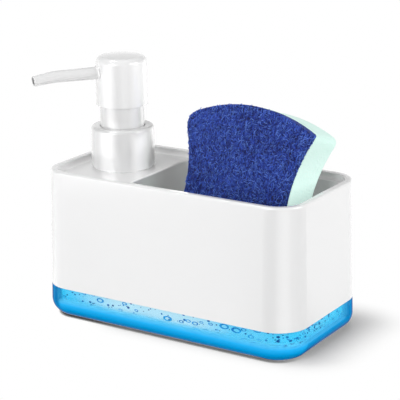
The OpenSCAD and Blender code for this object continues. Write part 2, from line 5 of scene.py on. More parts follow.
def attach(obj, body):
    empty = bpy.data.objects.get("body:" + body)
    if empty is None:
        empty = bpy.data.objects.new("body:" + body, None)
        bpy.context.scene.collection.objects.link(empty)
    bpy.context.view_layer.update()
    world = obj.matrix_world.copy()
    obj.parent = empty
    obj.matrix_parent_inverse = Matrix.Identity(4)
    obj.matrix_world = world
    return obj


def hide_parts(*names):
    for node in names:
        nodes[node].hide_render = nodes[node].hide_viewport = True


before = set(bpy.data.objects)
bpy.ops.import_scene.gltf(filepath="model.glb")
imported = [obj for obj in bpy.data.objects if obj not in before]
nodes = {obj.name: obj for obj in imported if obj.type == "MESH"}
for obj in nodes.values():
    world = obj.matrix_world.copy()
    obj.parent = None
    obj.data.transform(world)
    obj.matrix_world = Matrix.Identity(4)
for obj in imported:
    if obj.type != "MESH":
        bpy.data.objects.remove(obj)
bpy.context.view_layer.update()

mm = 0.001
print("caddy: frame loaded,", len(nodes), "nodes")


# Camera, solved from the photograph's box edges: position and clip in m, angles in radians, lens in mm
shot = {"position": (0.40019, -0.63135, 0.28570), "azimuth": 0.5644, "elevation": 0.2871,
        "roll": -0.0095, "lens": 135.0, "sensor": 36.0, "clip": (0.05, 20.0)}


def makeCamera():
    data = bpy.data.cameras.new("photoCamera")
    data.lens = shot["lens"]
    data.sensor_width = shot["sensor"]
    data.clip_start, data.clip_end = shot["clip"]
    cam = bpy.data.objects.new("photoCamera", data)
    bpy.context.scene.collection.objects.link(cam)
    a, e, r = shot["azimuth"], shot["elevation"], shot["roll"]
    right = Vector((math.cos(a), math.sin(a), 0))
    back = Vector((math.sin(a) * math.cos(e), -math.cos(a) * math.cos(e), math.sin(e)))
    up = back.cross(right)
    camX = math.cos(r) * right + math.sin(r) * up
    camY = -math.sin(r) * right + math.cos(r) * up
    turn = Matrix((camX, camY, back)).transposed().to_4x4()
    cam.matrix_world = Matrix.Translation(shot["position"]) @ turn
    bpy.context.scene.camera = cam


# Small helpers for node trees
def feed(tree, node, feeds):
    # feeds: what goes into each input, a value or the output of another node
    for name, value in feeds.items():
        if isinstance(value, bpy.types.NodeSocket):
            tree.links.new(value, node.inputs[name])
        else:
            node.inputs[name].default_value = value


def addNode(tree, kind, place=(0, 0), feeds=None, **settings):
    node = tree.nodes.new(kind)
    node.location = place
    for name, value in settings.items():
        setattr(node, name, value)
    feed(tree, node, feeds or {})
    return node


def newGroup(name, inputs, outputs):
    # inputs: (name, kind, value); outputs: (name, kind)
    tree = bpy.data.node_groups.new(name, "ShaderNodeTree")
    for label, kind, value in inputs:
        socket = tree.interface.new_socket(label, in_out="INPUT", socket_type=kind)
        socket.default_value = value
    for label, kind in outputs:
        tree.interface.new_socket(label, in_out="OUTPUT", socket_type=kind)
    return tree, addNode(tree, "NodeGroupInput", (-900, 0)), addNode(tree, "NodeGroupOutput", (700, 0))


def newMaterial(name, shader):
    mat = bpy.data.materials.new(name)
    mat.use_nodes = True
    tree = mat.node_tree
    tree.nodes.clear()
    bsdf = addNode(tree, "ShaderNodeBsdfPrincipled", (200, 0), shader)
    addNode(tree, "ShaderNodeOutputMaterial", (500, 0), {0: bsdf.outputs[0]})
    return mat, tree, bsdf


def nodeOfKind(tree, kind):
    return [n for n in tree.nodes if n.type == kind][0]


def grey(v):
    return (v, v, v, 1.0)


def objectCoords(tree, place):
    return addNode(tree, "ShaderNodeTexCoord", place).outputs["Object"]


def heightOf(tree, coords, place):
    return addNode(tree, "ShaderNodeSeparateXYZ", place, {0: coords}).outputs["Z"]


def noise(tree, coords, look, place):
    return addNode(tree, "ShaderNodeTexNoise", place, {"Vector": coords, **look}).outputs[0]


def mapRange(tree, value, place, start=(0.0, 1.0), end=(0.0, 1.0), soft=False):
    # start: the span it reads, end: the span it gives
    return addNode(tree, "ShaderNodeMapRange", place, {
        "Value": value, "From Min": start[0], "From Max": start[1], "To Min": end[0], "To Max": end[1]},
        interpolation_type="SMOOTHSTEP" if soft else "LINEAR").outputs[0]


def calc(tree, operation, first, second, place, third=None):
    feeds = {0: first, 1: second}
    if third is not None:
        feeds[2] = third
    return addNode(tree, "ShaderNodeMath", place, feeds, operation=operation).outputs[0]


def blend(tree, share, first, second, place, kind="MIX"):
    return addNode(tree, "ShaderNodeMix", place, {"Factor": share, 6: first, 7: second},
                   data_type="RGBA", blend_type=kind).outputs[2]


def mixShader(tree, share, first, second, place):
    return addNode(tree, "ShaderNodeMixShader", place, {0: share, 1: first, 2: second}).outputs[0]


def colourRamp(tree, value, marks, place, smooth=False):
    # marks: (from 0 to 1, colour)
    node = addNode(tree, "ShaderNodeValToRGB", place, {0: value})
    ramp = node.color_ramp
    if smooth:
        ramp.interpolation = "EASE"
    while len(ramp.elements) < len(marks):
        ramp.elements.new(0.5)
    for element, (spot, colour) in zip(ramp.elements, marks):
        element.position, element.color = spot, colour
    return node.outputs[0]


def larger(tree, first, second, place):
    if first is None:
        return second
    return calc(tree, "MAXIMUM", first, second, place)


def anyOf(tree, path, names, place):
    # 1 where the ray is of one of the named kinds
    total = None
    for i, name in enumerate(names):
        total = larger(tree, total, path.outputs[name], (place[0] + 60 * (i - 1), place[1]))
    return total


def spotMask(tree, spread, place):
    # strong within the near distance of a spot, nothing beyond the far one
    coords, spot, near, far, strength = spread
    away = addNode(tree, "ShaderNodeVectorMath", place, {
        0: coords, 1: Vector(spot) * mm}, operation="DISTANCE").outputs["Value"]
    return mapRange(tree, away, (place[0] + 200, place[1]), (near, far), (strength, 0.0), soft=True)


def plainBounce(tree, colour, tone, place):
    # what a coloured piece throws on its neighbours stays neutral, as in the photograph
    path = addNode(tree, "ShaderNodeLightPath", (place[0] - 300, place[1] + 300))
    return blend(tree, path.outputs["Is Diffuse Ray"], colour, grey(tone), place)


# Moulded plastic: faint tone drift, soft sheen changes and orange peel
mouldedNoise = {"drift": {"Scale": 18.0, "Detail": 3.0, "Roughness": 0.5},
                "smear": {"Scale": 70.0, "Detail": 4.0, "Roughness": 0.6, "Distortion": 0.6},
                "peel": {"Detail": 2.0, "Roughness": 0.5}}


def buildMouldedGroup():
    tree, gin, gout = newGroup("mouldedSurface", [
        ("Tone", "NodeSocketColor", (0.9, 0.9, 0.9, 1)), ("Shade", "NodeSocketColor", (0.8, 0.8, 0.8, 1)),
        ("Drift", "NodeSocketFloat", 0.2), ("Roughness Low", "NodeSocketFloat", 0.15),
        ("Roughness High", "NodeSocketFloat", 0.25), ("Peel Scale", "NodeSocketFloat", 900.0),
        ("Peel Height", "NodeSocketFloat", 0.00002)],
        [("Color", "NodeSocketColor"), ("Roughness", "NodeSocketFloat"), ("Normal", "NodeSocketVector")])
    take = gin.outputs
    coords = objectCoords(tree, (-900, -300))
    drift = noise(tree, coords, mouldedNoise["drift"], (-650, 200))
    smear = noise(tree, coords, mouldedNoise["smear"], (-650, -100))
    peel = noise(tree, coords, {**mouldedNoise["peel"], "Scale": take["Peel Scale"]}, (-650, -400))
    amount = calc(tree, "MULTIPLY", drift, take["Drift"], (-400, 200))
    tone = blend(tree, amount, take["Tone"], take["Shade"], (-150, 200))
    rough = mapRange(tree, smear, (-150, -100), end=(take["Roughness Low"], take["Roughness High"]))
    bump = addNode(tree, "ShaderNodeBump", (-150, -400), {
        "Strength": 1.0, "Distance": take["Peel Height"], "Height": peel})
    feed(tree, gout, {"Color": tone, "Roughness": rough, "Normal": bump.outputs[0]})
    return tree


def mouldedMaterial(name, group, look, shader):
    mat, tree, bsdf = newMaterial(name, shader)
    use = addNode(tree, "ShaderNodeGroup", (-150, 0), look, node_tree=group)
    feed(tree, bsdf, {"Base Color": use.outputs["Color"], "Roughness": use.outputs["Roughness"],
                      "Normal": use.outputs["Normal"]})
    return mat


makeCamera()
mouldedGroup = buildMouldedGroup()

whitePlastic = {
    "look": {"Tone": (0.86, 0.86, 0.862, 1), "Shade": (0.80, 0.80, 0.802, 1), "Drift": 0.25,
             "Roughness Low": 0.17, "Roughness High": 0.25, "Peel Scale": 620.0, "Peel Height": 0.000012},
    "shader": {"IOR": 1.5, "Coat Weight": 0.9, "Coat Roughness": 0.13}}
naturalPlastic = {
    "look": {"Tone": (0.80, 0.82, 0.81, 1), "Shade": (0.66, 0.69, 0.69, 1), "Drift": 0.6,
             "Roughness Low": 0.34, "Roughness High": 0.5, "Peel Scale": 900.0, "Peel Height": 0.00003},
    "shader": {"IOR": 1.5}}
padRubber = {
    "look": {"Tone": (0.42, 0.47, 0.52, 1), "Shade": (0.30, 0.34, 0.39, 1), "Drift": 0.9,
             "Roughness Low": 0.6, "Roughness High": 0.85, "Peel Scale": 1500.0, "Peel Height": 0.00012},
    "shader": {"IOR": 1.45}}
sealRubber = {
    "look": {"Tone": (0.62, 0.62, 0.60, 1), "Shade": (0.45, 0.45, 0.43, 1), "Drift": 0.8,
             "Roughness Low": 0.5, "Roughness High": 0.7, "Peel Scale": 1500.0, "Peel Height": 0.00006},
    "shader": {"IOR": 1.45}}
# painted shade: a darker copy of the white plastic, for the spout
spoutShadedPlastic = {
    "look": {**whitePlastic["look"], "Tone": (0.80, 0.80, 0.802, 1), "Shade": (0.74, 0.74, 0.742, 1)},
    "shader": whitePlastic["shader"]}
# painted shade: a darker copy of the white plastic, for the pump's collar and guide sleeve
pumpShadedPlastic = {
    "look": {**whitePlastic["look"], "Tone": (0.77, 0.77, 0.772, 1), "Shade": (0.71, 0.71, 0.712, 1)},
    "shader": whitePlastic["shader"]}
# painted shade inside the spout's bore: its dark tone
boreShadeTone = (0.34, 0.34, 0.345, 1)
whiteMat = mouldedMaterial("whitePlastic", mouldedGroup, **whitePlastic)
pumpShadedMat = mouldedMaterial("pumpShadedPlastic", mouldedGroup, **pumpShadedPlastic)
naturalMat = mouldedMaterial("naturalPlastic", mouldedGroup, **naturalPlastic)
padMat = mouldedMaterial("padRubber", mouldedGroup, **padRubber)
sealMat = mouldedMaterial("sealRubber", mouldedGroup, **sealRubber)


# Bright steel for the spring and the balls
steelWire = {"bright": (0.78, 0.79, 0.81, 1), "dull": (0.58, 0.59, 0.61, 1), "toneSpan": (0.35, 0.65),
             "stretch": (1.0, 1.0, 6.0), "scratch": {"Scale": 900.0, "Detail": 4.0},
             "roughness": (0.16, 0.34)}


def steelMaterial():
    mat, tree, bsdf = newMaterial("brightSteel", {"Metallic": 1.0})
    stretch = addNode(tree, "ShaderNodeMapping", (-700, 0), {
        "Scale": steelWire["stretch"], "Vector": objectCoords(tree, (-900, 0))})
    scratch = noise(tree, stretch.outputs[0], steelWire["scratch"], (-500, 0))
    marks = list(zip(steelWire["toneSpan"], (steelWire["dull"], steelWire["bright"])))
    feed(tree, bsdf, {"Base Color": colourRamp(tree, scratch, marks, (-250, 150)),
                      "Roughness": mapRange(tree, scratch, (-250, -150), end=steelWire["roughness"])})
    return mat


# Clear tank: see-through on its walls and deep blue where one looks along the wall; painted shade makes it
# darker blue towards its foot and at its ends, and a painted glow lights it faintly
clearTank = {
    "clear": (0.20, 0.75, 1.0, 1), "haze": (0.05, 0.62, 0.98, 1), "side": (0.0, 0.25, 0.60, 1),
    "deep": (0.0, 0.11, 0.36, 1), "edge": (0.0, 0.075, 0.30, 1), "film": 0.05, "light": 0.10,
    "roughness": (0.05, 0.10), "shadowTone": 0.94, "cloud": {"Scale": 60.0, "Detail": 4.0},
    # painted shade: the foot's blue, darker towards the bottom, by height in mm, and the heights between
    # which it clears
    "foot": ((0.0, (0.0, 0.05, 0.22, 1)), (1.4, (0.0, 0.08, 0.28, 1)), (3.0, (0.0, 0.21, 0.49, 1)),
             (5.2, (0.0, 0.33, 0.74, 1)), (8.0, (0.02, 0.46, 0.95, 1)), (11.5, (0.16, 0.62, 1.0, 1))),
    "clearing": (7.5, 12.5),
    # colour by how flat the wall is seen, from and to
    "graze": (("side", 0.53, 0.66), ("edge", 0.66, 0.86)),
    # painted shade, spots of darker blue at the tank's ends: centre in mm, near and far in m, strength,
    # colour
    "corners": (((-76, -33), 0.0105, 0.0145, 0.9, "side"), ((-80, -31), 0.011, 0.020, 0.95, "deep"),
                ((79, 33), 0.012, 0.018, 0.85, "side"), ((80, 36), 0.011, 0.017, 0.85, "deep"),
                ((-75, 37), 0.010, 0.020, 0.8, "side"))}


def footShadeBlue(tree, height):
    tall = clearTank["foot"][-1][0]
    marks = [(z / tall, colour) for z, colour in clearTank["foot"]]
    return colourRamp(tree, mapRange(tree, height, (-750, 150), (0.0, tall * mm)), marks, (-600, 500))


def tankMasks(tree, coords, height):
    # each deeper blue and where it shows, the later over the earlier: the painted shade of the foot and of
    # the ends, then the blue of the grazing view
    low, high = clearTank["clearing"]
    masks = [("foot", mapRange(tree, height, (-750, 400), (low * mm, high * mm), (1.0, 0.0), soft=True))]
    level = addNode(tree, "ShaderNodeVectorMath", (-1000, -500), {
        0: coords, 1: (1, 1, 0)}, operation="MULTIPLY")
    for i, (spot, near, far, strength, key) in enumerate(clearTank["corners"]):
        spread = (level.outputs[0], (*spot, 0), near, far, strength)
        masks.append((key, spotMask(tree, spread, (-800, -500 - 200 * i))))
    facing = addNode(tree, "ShaderNodeLayerWeight", (-1000, 650), {"Blend": 0.5}).outputs["Facing"]
    for i, (key, start, end) in enumerate(clearTank["graze"]):
        masks.append((key, mapRange(tree, facing, (-750, 650 + 200 * i), (start, end), soft=True)))
    return masks


def tankMaterial():
    # painted glow: the tank also emits its own blue faintly, where no lamp is
    mat, tree, bsdf = newMaterial("clearTank", {"IOR": 1.08, "Specular IOR Level": 0.08,
                                                "Emission Strength": clearTank["light"]})
    mat.cycles.emission_sampling = "NONE"
    coords = objectCoords(tree, (-1200, 0))
    height = heightOf(tree, coords, (-1000, 400))
    haze = noise(tree, coords, clearTank["cloud"], (-850, -100))
    shade, cover = blend(tree, haze, clearTank["clear"], clearTank["haze"], (-550, 150)), None
    blues = {**clearTank, "foot": footShadeBlue(tree, height)}
    for i, (key, mask) in enumerate(tankMasks(tree, coords, height)):
        shade = blend(tree, mask, shade, blues[key], (-350 + 150 * i, 300))
        cover = larger(tree, cover, mask, (-350 + 150 * i, -100))
    bsdf.location = (800, 0)
    feed(tree, bsdf, {
        "Base Color": shade, "Emission Color": shade,
        "Alpha": mapRange(tree, cover, (550, -100), end=(clearTank["film"], 1.0)),
        "Roughness": mapRange(tree, haze, (550, -300), end=clearTank["roughness"])})
    # light passes through the tank, so that the soap and the table behind it are lit
    passage = addNode(tree, "ShaderNodeBsdfTransparent", (900, -500), {
        0: grey(clearTank["shadowTone"])})
    path = addNode(tree, "ShaderNodeLightPath", (600, 500))
    either = anyOf(tree, path, ("Is Shadow Ray", "Is Diffuse Ray"), (800, 450))
    mixed = mixShader(tree, either, bsdf.outputs[0], passage.outputs[0], (1150, 200))
    feed(tree, nodeOfKind(tree, "OUTPUT_MATERIAL"), {0: mixed})
    return mat


# Blue soap with drifting tone, and painted light: paler near the seam as a painted reflection, deeper
# towards the foot as painted shade, with painted soft spots of light
soapLook = {"foot": (0.0, 0.27, 0.62, 1), "low": (0.0, 0.40, 0.84, 1), "middle": (0.0, 0.51, 0.98, 1),
            "high": (0.02, 0.60, 1.0, 1), "glow": (0.52, 0.84, 1.0, 1), "bounce": 0.45, "roughness": 0.08,
            "light": 0.16, "drift": {"Scale": 24.0, "Detail": 3.0, "Roughness": 0.55}, "sway": 0.2,
            # the painted light and shade of the tones run over a span of heights in mm, and the glow fades
            # over a share of it
            "span": (3, 15), "glowFade": (0.18, 0.85),
            "marks": ((0.0, "foot"), (0.12, "low"), (0.45, "middle"), (0.85, "high")),
            # spots of light: centre in mm, near and far in m, strength
            "glowSpots": (((-6, -41, 17), 0.020, 0.060, 1.0), ((79, -10, 16), 0.0, 0.030, 0.15),
                          ((48, -41, 14), 0.0, 0.04, 0.2))}


def soapMaterial():
    # painted glow: the soap emits its own colour faintly, where no lamp is
    mat, tree, bsdf = newMaterial("blueSoap", {
        "IOR": 1.25, "Coat Weight": 0.1, "Coat Roughness": 0.04, "Roughness": soapLook["roughness"],
        "Emission Strength": soapLook["light"]})
    mat.cycles.emission_sampling = "NONE"
    coords = objectCoords(tree, (-1500, 0))
    foot, seam = soapLook["span"]
    height = mapRange(tree, heightOf(tree, coords, (-1300, 100)), (-1100, 100), (foot * mm, seam * mm))
    drift = noise(tree, coords, soapLook["drift"], (-1100, -200))
    sway = mapRange(tree, drift, (-900, -200), end=(-soapLook["sway"], soapLook["sway"]))
    level = calc(tree, "ADD", height, sway, (-850, 100))
    tone = colourRamp(tree, level, [(spot, soapLook[key]) for spot, key in soapLook["marks"]], (-650, 100))
    # light that comes through the liquid, in soft spots that fade downwards
    total = None
    for i, (spot, core, reach, strength) in enumerate(soapLook["glowSpots"]):
        near = spotMask(tree, (coords, spot, core, reach, strength), (-1300, -500 - 200 * i))
        total = larger(tree, total, near, (-900, -500 - 200 * i))
    upper = mapRange(tree, level, (-900, 350), soapLook["glowFade"], soft=True)
    share = calc(tree, "MULTIPLY", upper, total, (-650, 400))
    lit = blend(tree, share, tone, soapLook["glow"], (-350, 200))
    thrown = plainBounce(tree, lit, soapLook["bounce"], (-50, 200))
    feed(tree, bsdf, {"Base Color": thrown, "Emission Color": thrown})
    return mat


# Air bubbles: dark specks and the rims of wider bubbles, each a little different in tone, with a faint
# painted glow
bubbleLook = {"speck": ((0.0, 0.06, 0.27, 1), (0.0, 0.20, 0.60, 1)),
              "ring": ((0.0, 0.21, 0.66, 1), (0.0, 0.38, 0.92, 1)), "light": 0.12,
              "cloud": {"Scale": 260.0, "Detail": 2.0}, "toneSpan": (0.40, 0.62)}


def bubbleMaterial(name, tones):
    mat, tree, bsdf = newMaterial(name, {"Roughness": 0.35, "IOR": 1.2,
                                         "Emission Strength": bubbleLook["light"]})
    mat.cycles.emission_sampling = "NONE"
    cloud = noise(tree, objectCoords(tree, (-900, 0)), bubbleLook["cloud"], (-700, 0))
    tone = colourRamp(tree, cloud, list(zip(bubbleLook["toneSpan"], tones)), (-400, 0))
    feed(tree, bsdf, {"Base Color": tone, "Emission Color": tone})
    return mat


steelMat = steelMaterial()
tankMat = tankMaterial()
soapMat = soapMaterial()
ringMat = bubbleMaterial("ringBubble", bubbleLook["ring"])
speckMat = bubbleMaterial("speckBubble", bubbleLook["speck"])

finishes = {
    "caddy_shell": whiteMat, "pump_collar": pumpShadedMat, "guide_sleeve": pumpShadedMat, "pump_head": whiteMat,
    "spout": whiteMat, "tank_tray": tankMat, "tank_cover": tankMat, "liquid_soap": soapMat,
    "base_pad": padMat, "neck_gasket": sealMat, "wiper_seal": sealMat, "pump_housing": naturalMat,
    "dip_tube": naturalMat, "ball_cage": naturalMat, "stem": naturalMat, "piston": naturalMat,
    "inlet_ball": steelMat, "outlet_ball": steelMat, "return_spring": steelMat}
for nodeName, mat in finishes.items():
    if not nodes[nodeName].material_slots:
        nodes[nodeName].data.materials.append(mat)
    for slot in nodes[nodeName].material_slots:
        slot.material = mat
print("caddy: moulded parts finished")


# Meshes
def makeObject(name, verts, faces, mat, smooth=True):
    mesh = bpy.data.meshes.new(name)
    mesh.from_pydata([tuple(v) for v in verts], [], faces)
    mesh.update()
    mesh.materials.append(mat)
    mesh.polygons.foreach_set("use_smooth", [smooth] * len(mesh.polygons))
    obj = bpy.data.objects.new(name, mesh)
    bpy.context.scene.collection.objects.link(obj)
    return obj


def ringFaces(rings, n, turned=False):
    # the faces between rings of n points each
    faces = []
    for i in range(rings - 1):
        for j in range(n):
            a, b = i * n + j, i * n + (j + 1) % n
            faces.append((a, a + n, b + n, b) if turned else (a, b, b + n, a + n))
    return faces


def curvePoint(a, b, c, t):
    return a * (1 - t) ** 2 + b * 2 * t * (1 - t) + c * t * t


# Spout: one smooth drooping tube with an open bore, in mm and degrees
spoutShape = {"axis": (-49.0, 2.0, 128.0), "turn": 235.0, "start": 9.0, "head": 13.5, "straight": 23.4,
              "tip": 11.4, "droop": 7.5, "bendSpan": 7.0, "rRoot": 3.3, "rBend": 3.1, "rTip": 2.68,
              "rBore": 2.15, "lip": 0.35, "lipSteps": 4, "rings": 44, "sides": 48,
              "boreLip": 0.15, "boreMouth": (0.05, 0.3), "boreDepth": 9.0, "boreRings": 9}


def spoutCentre(run, s):
    # s goes along the tube, which bends at run; returns reach, height and slope
    droop, half = math.radians(spoutShape["droop"]), spoutShape["bendSpan"] / 2
    ahead = s - run
    if ahead <= -half:
        return s, 0.0, 0.0
    if ahead >= half:
        return run + ahead * math.cos(droop), -ahead * math.sin(droop), droop
    t = (ahead + half) / spoutShape["bendSpan"]
    a, b = Vector((run - half, 0)), Vector((run, 0))
    c = Vector((run + half * math.cos(droop), -half * math.sin(droop)))
    q = curvePoint(a, b, c, t)
    return q.x, q.y, droop * t


def spoutRadius(run, s):
    p = spoutShape
    if s < p["head"]:
        return p["rRoot"]
    if s < run:
        return p["rRoot"] + (p["rBend"] - p["rRoot"]) * (s - p["head"]) / p["straight"]
    return p["rBend"] + (p["rTip"] - p["rBend"]) * (s - run) / p["tip"]


def spoutProfile(run):
    # place along the tube and radius, from the root over the rounded lip into the bore
    p = spoutShape
    lip, end = p["lip"], run + p["tip"]
    length = end - lip - p["start"]
    stations = [p["start"] + length * i / p["rings"] for i in range(p["rings"] + 1)]
    profile = [(s, spoutRadius(run, s)) for s in stations]
    for k in range(1, p["lipSteps"] + 1):
        a = math.pi / 2 * k / p["lipSteps"]
        profile.append((end - lip + lip * math.sin(a), spoutRadius(run, end) - lip * (1 - math.cos(a))))
    outer, inner = p["boreMouth"]
    profile.append((end - outer, p["rBore"] + p["boreLip"]))
    return profile + [(end - inner - p["boreDepth"] * i / (p["boreRings"] - 1), p["rBore"])
                      for i in range(p["boreRings"])]


def makeSpout(mat):
    p, n = spoutShape, spoutShape["sides"]
    run, turn = p["head"] + p["straight"], math.radians(p["turn"])
    along = Vector((math.cos(turn), math.sin(turn), 0))
    side = Vector((-math.sin(turn), math.cos(turn), 0))
    profile, verts = spoutProfile(run), []
    for s, r in profile:
        reach, height, slope = spoutCentre(run, s)
        mid = Vector(p["axis"]) + along * reach + Vector((0, 0, height))
        upward = along * math.sin(slope) + Vector((0, 0, math.cos(slope)))
        for j in range(n):
            a = 2 * math.pi * j / n
            verts.append((mid + (side * math.cos(a) + upward * math.sin(a)) * r) * mm)
    faces = ringFaces(len(profile), n)
    faces.append(list(reversed(range(n))))
    faces.append([(len(profile) - 1) * n + j for j in range(n)])
    obj = makeObject("spoutTube", verts, faces, mat)
    bore = obj.data.attributes.new("bore", "FLOAT", "POINT")
    first = (len(profile) - p["boreRings"]) * n
    bore.data.foreach_set("value", [float(i >= first) for i in range(len(verts))])
    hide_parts("spout")
    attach(obj, "head")


def spoutShadedMaterial():
    mat = mouldedMaterial("spoutShadedPlastic", mouldedGroup, **spoutShadedPlastic)
    tree = mat.node_tree
    bsdf = nodeOfKind(tree, "BSDF_PRINCIPLED")
    tone = bsdf.inputs["Base Color"].links[0].from_socket
    # the inside of the bore is painted dark, as shade
    own = addNode(tree, "ShaderNodeAttribute", (-300, 400), attribute_name="bore")
    feed(tree, bsdf, {"Base Color": blend(tree, own.outputs["Fac"], tone, boreShadeTone, (-100, 300))})
    return mat


makeSpout(spoutShadedMaterial())
print("caddy: spout drawn")


# Sponge: the part's outline, a little fuller, resampled evenly, in mm and degrees
spongeShape = {"foot": (23.0, 4.3, 21.05), "turn": -11.3, "lean": -19.589, "tilt": -2.2, "thick": 25.0,
               "scour": 6.0, "width": 83.6, "waist": 64.0, "length": 92.0, "crown": 9.9,
               "corner": 8.5, "foamCorner": 4.0, "sharp": 1.2, "points": 220, "fuller": 1.02, "aside": 0.2,
               "sideSteps": 40, "cornerSteps": 12}


def spongeMatrix():
    p = spongeShape
    m = Matrix.Translation(Vector(p["foot"]))
    m = m @ Matrix.Rotation(math.radians(p["turn"]), 4, "Z")
    m = m @ Matrix.Rotation(math.radians(p["lean"]), 4, "X")
    m = m @ Matrix.Translation(Vector((0, -p["thick"], p["length"] / 2)))
    return Matrix.Scale(mm, 4) @ m @ Matrix.Rotation(math.radians(p["tilt"]), 4, "Y")


def spongeOutline(rightCorner):
    p = spongeShape
    halfL, end = p["length"] / 2 - p["crown"], p["width"] / 2

    def sideX(z):
        return p["waist"] / 2 + (end - p["waist"] / 2) * (z / halfL) ** 2

    def crownZ(x):
        return halfL + p["crown"] * (1 - (x / end) ** 2)

    def quarter(r):
        z1, x1, n, m = halfL - r, end - r, p["sideSteps"], p["cornerSteps"]
        pts = [Vector((sideX(z1 * i / n), z1 * i / n)) for i in range(n + 1)]
        a, b, c = pts[-1], Vector((end, halfL)), Vector((x1, crownZ(x1)))
        pts += [curvePoint(a, b, c, k / m) for k in range(1, m + 1)]
        return pts + [Vector((x1 * (1 - i / n), crownZ(x1 * (1 - i / n)))) for i in range(1, n + 1)]

    right, left = quarter(rightCorner), quarter(p["corner"])
    loop = right + [Vector((-v.x, v.y)) for v in reversed(left[1:-1])]
    loop += [Vector((-v.x, -v.y)) for v in left] + [Vector((v.x, -v.y)) for v in reversed(right[1:-1])]
    steps = [(loop[(i + 1) % len(loop)] - v).length for i, v in enumerate(loop)]
    total, n = sum(steps), p["points"]
    out, i, used = [], 0, 0.0
    for k in range(n):
        want = total * k / n
        while used + steps[i] < want:
            used += steps[i]
            i += 1
        f = (want - used) / steps[i]
        spot = loop[i].lerp(loop[(i + 1) % len(loop)], f)
        out.append(Vector((spot.x * p["fuller"] + p["aside"], spot.y)))
    return out


def insetLoop(loop, d):
    n, out = len(loop), []
    for i, v in enumerate(loop):
        t = (loop[(i + 1) % n] - loop[i - 1]).normalized()
        out.append(v + Vector((-t.y, t.x)) * d)
    return out


def slabRings(loop, layers, mat, name, closed=True):
    # layers: (depth, inset, scale towards the middle)
    m = spongeMatrix()
    verts, n = [], len(loop)
    for depth, inset, scale in layers:
        for v in insetLoop(loop, inset):
            verts.append(m @ Vector((v.x * scale, depth, v.y * scale)))
    faces = ringFaces(len(layers), n, turned=True)
    faces.append(list(range(n)))
    if closed:
        faces.append([(len(layers) - 1) * n + j for j in reversed(range(n))])
    return makeObject(name, verts, faces, mat)


capGap = 0.6  # in rings, what a face leaves open round its middle for the last flat polygon


def capLayers(depth, inset, inward, rings, crown):
    # rings that fill a face from its edge to near the middle
    out = []
    for i in range(1, rings + 1):
        s = 1 - i / (rings + capGap)
        out.append((depth + inward * crown * (1 - s * s), inset, s))
    return out


foamLook = {"mint": (0.61, 0.87, 0.785, 1), "pale": (0.71, 0.88, 0.83, 1), "poreShade": (0.52, 0.79, 0.71, 1),
            "bounce": 0.33, "cloud": {"Scale": 28.0, "Detail": 5.0, "Roughness": 0.6},
            "coarse": {"Scale": 420.0, "Detail": 6.0, "Roughness": 0.7},
            "cells": {"Scale": 900.0, "Smoothness": 0.4, "Randomness": 1.0},
            "poreSpan": (0.05, 0.4), "poreShare": (0.35, 0.0), "poreHeight": 0.00022,
            # the foam's painted glow runs from one height in m to another, from its full share to its least
            "light": 0.50, "glowHeights": (0.068, 0.098), "glowShare": (1.0, 0.32)}


def foamMaterial():
    mat, tree, bsdf = newMaterial("mintFoam", {
        "Roughness": 0.85, "IOR": 1.35, "Sheen Weight": 0.25, "Sheen Roughness": 0.5,
        "Emission Strength": foamLook["light"]})
    mat.cycles.emission_sampling = "NONE"
    coords = objectCoords(tree, (-1200, 0))
    cloud = noise(tree, coords, foamLook["cloud"], (-900, 250))
    coarse = noise(tree, coords, foamLook["coarse"], (-900, -400))
    cells = addNode(tree, "ShaderNodeTexVoronoi", (-900, -100), {
        **foamLook["cells"], "Vector": coords}, feature="SMOOTH_F1").outputs["Distance"]
    tone = blend(tree, cloud, foamLook["mint"], foamLook["pale"], (-600, 250))
    # painted shade: the foam's pits, where the bump sinks, are darker
    dark = mapRange(tree, cells, (-600, -100), foamLook["poreSpan"], foamLook["poreShare"], soft=True)
    shade = blend(tree, dark, tone, foamLook["poreShade"], (-300, 200))
    thrown = plainBounce(tree, shade, foamLook["bounce"], (-50, 300))
    # painted glow, as if lit: the part that sinks into the well glows most
    deep = mapRange(tree, heightOf(tree, coords, (-900, 600)), (-600, 600),
                    foamLook["glowHeights"], foamLook["glowShare"], soft=True)
    relief = calc(tree, "ADD", cells, coarse, (-500, -350))
    bump = addNode(tree, "ShaderNodeBump", (-200, -300), {
        "Strength": 0.7, "Distance": foamLook["poreHeight"], "Height": relief})
    feed(tree, bsdf, {"Base Color": thrown, "Normal": bump.outputs[0],
                      "Emission Color": blend(tree, 1.0, thrown, deep, (150, 400), kind="MULTIPLY")})
    return mat


scourLook = {"dark": (0.003, 0.008, 0.09, 1), "body": (0.012, 0.042, 0.40, 1),
             "bright": (0.07, 0.17, 0.85, 1), "middle": 0.45, "bounce": 0.06, "stretch": (1.0, 1.0, 0.55),
             "clump": {"Detail": 2.0, "Roughness": 0.55, "Distortion": 1.2}, "clumpSpan": (0.40, 0.62),
             "broad": {"Scale": 60.0, "Detail": 3.0}, "broadSpan": (0.3, 0.7), "lift": (-0.15, 0.15),
             "holes": {"Scale": 330.0, "Randomness": 1.0},
             # the web of the pad and its strands: gain, height in m, scale of the clumps; the gains paint
             # shade on the web below and light on the strands above, as darker and lighter copies of one
             # colour
             "web": (0.75, 0.0013, 1100.0), "strand": (1.2, 0.0001, 550.0),
             "low": (0.006, 0.022, 0.26, 1), "top": (0.17, 0.33, 1.0, 1), "toneSpan": (0.25, 1.0),
             "toneShare": 0.75}


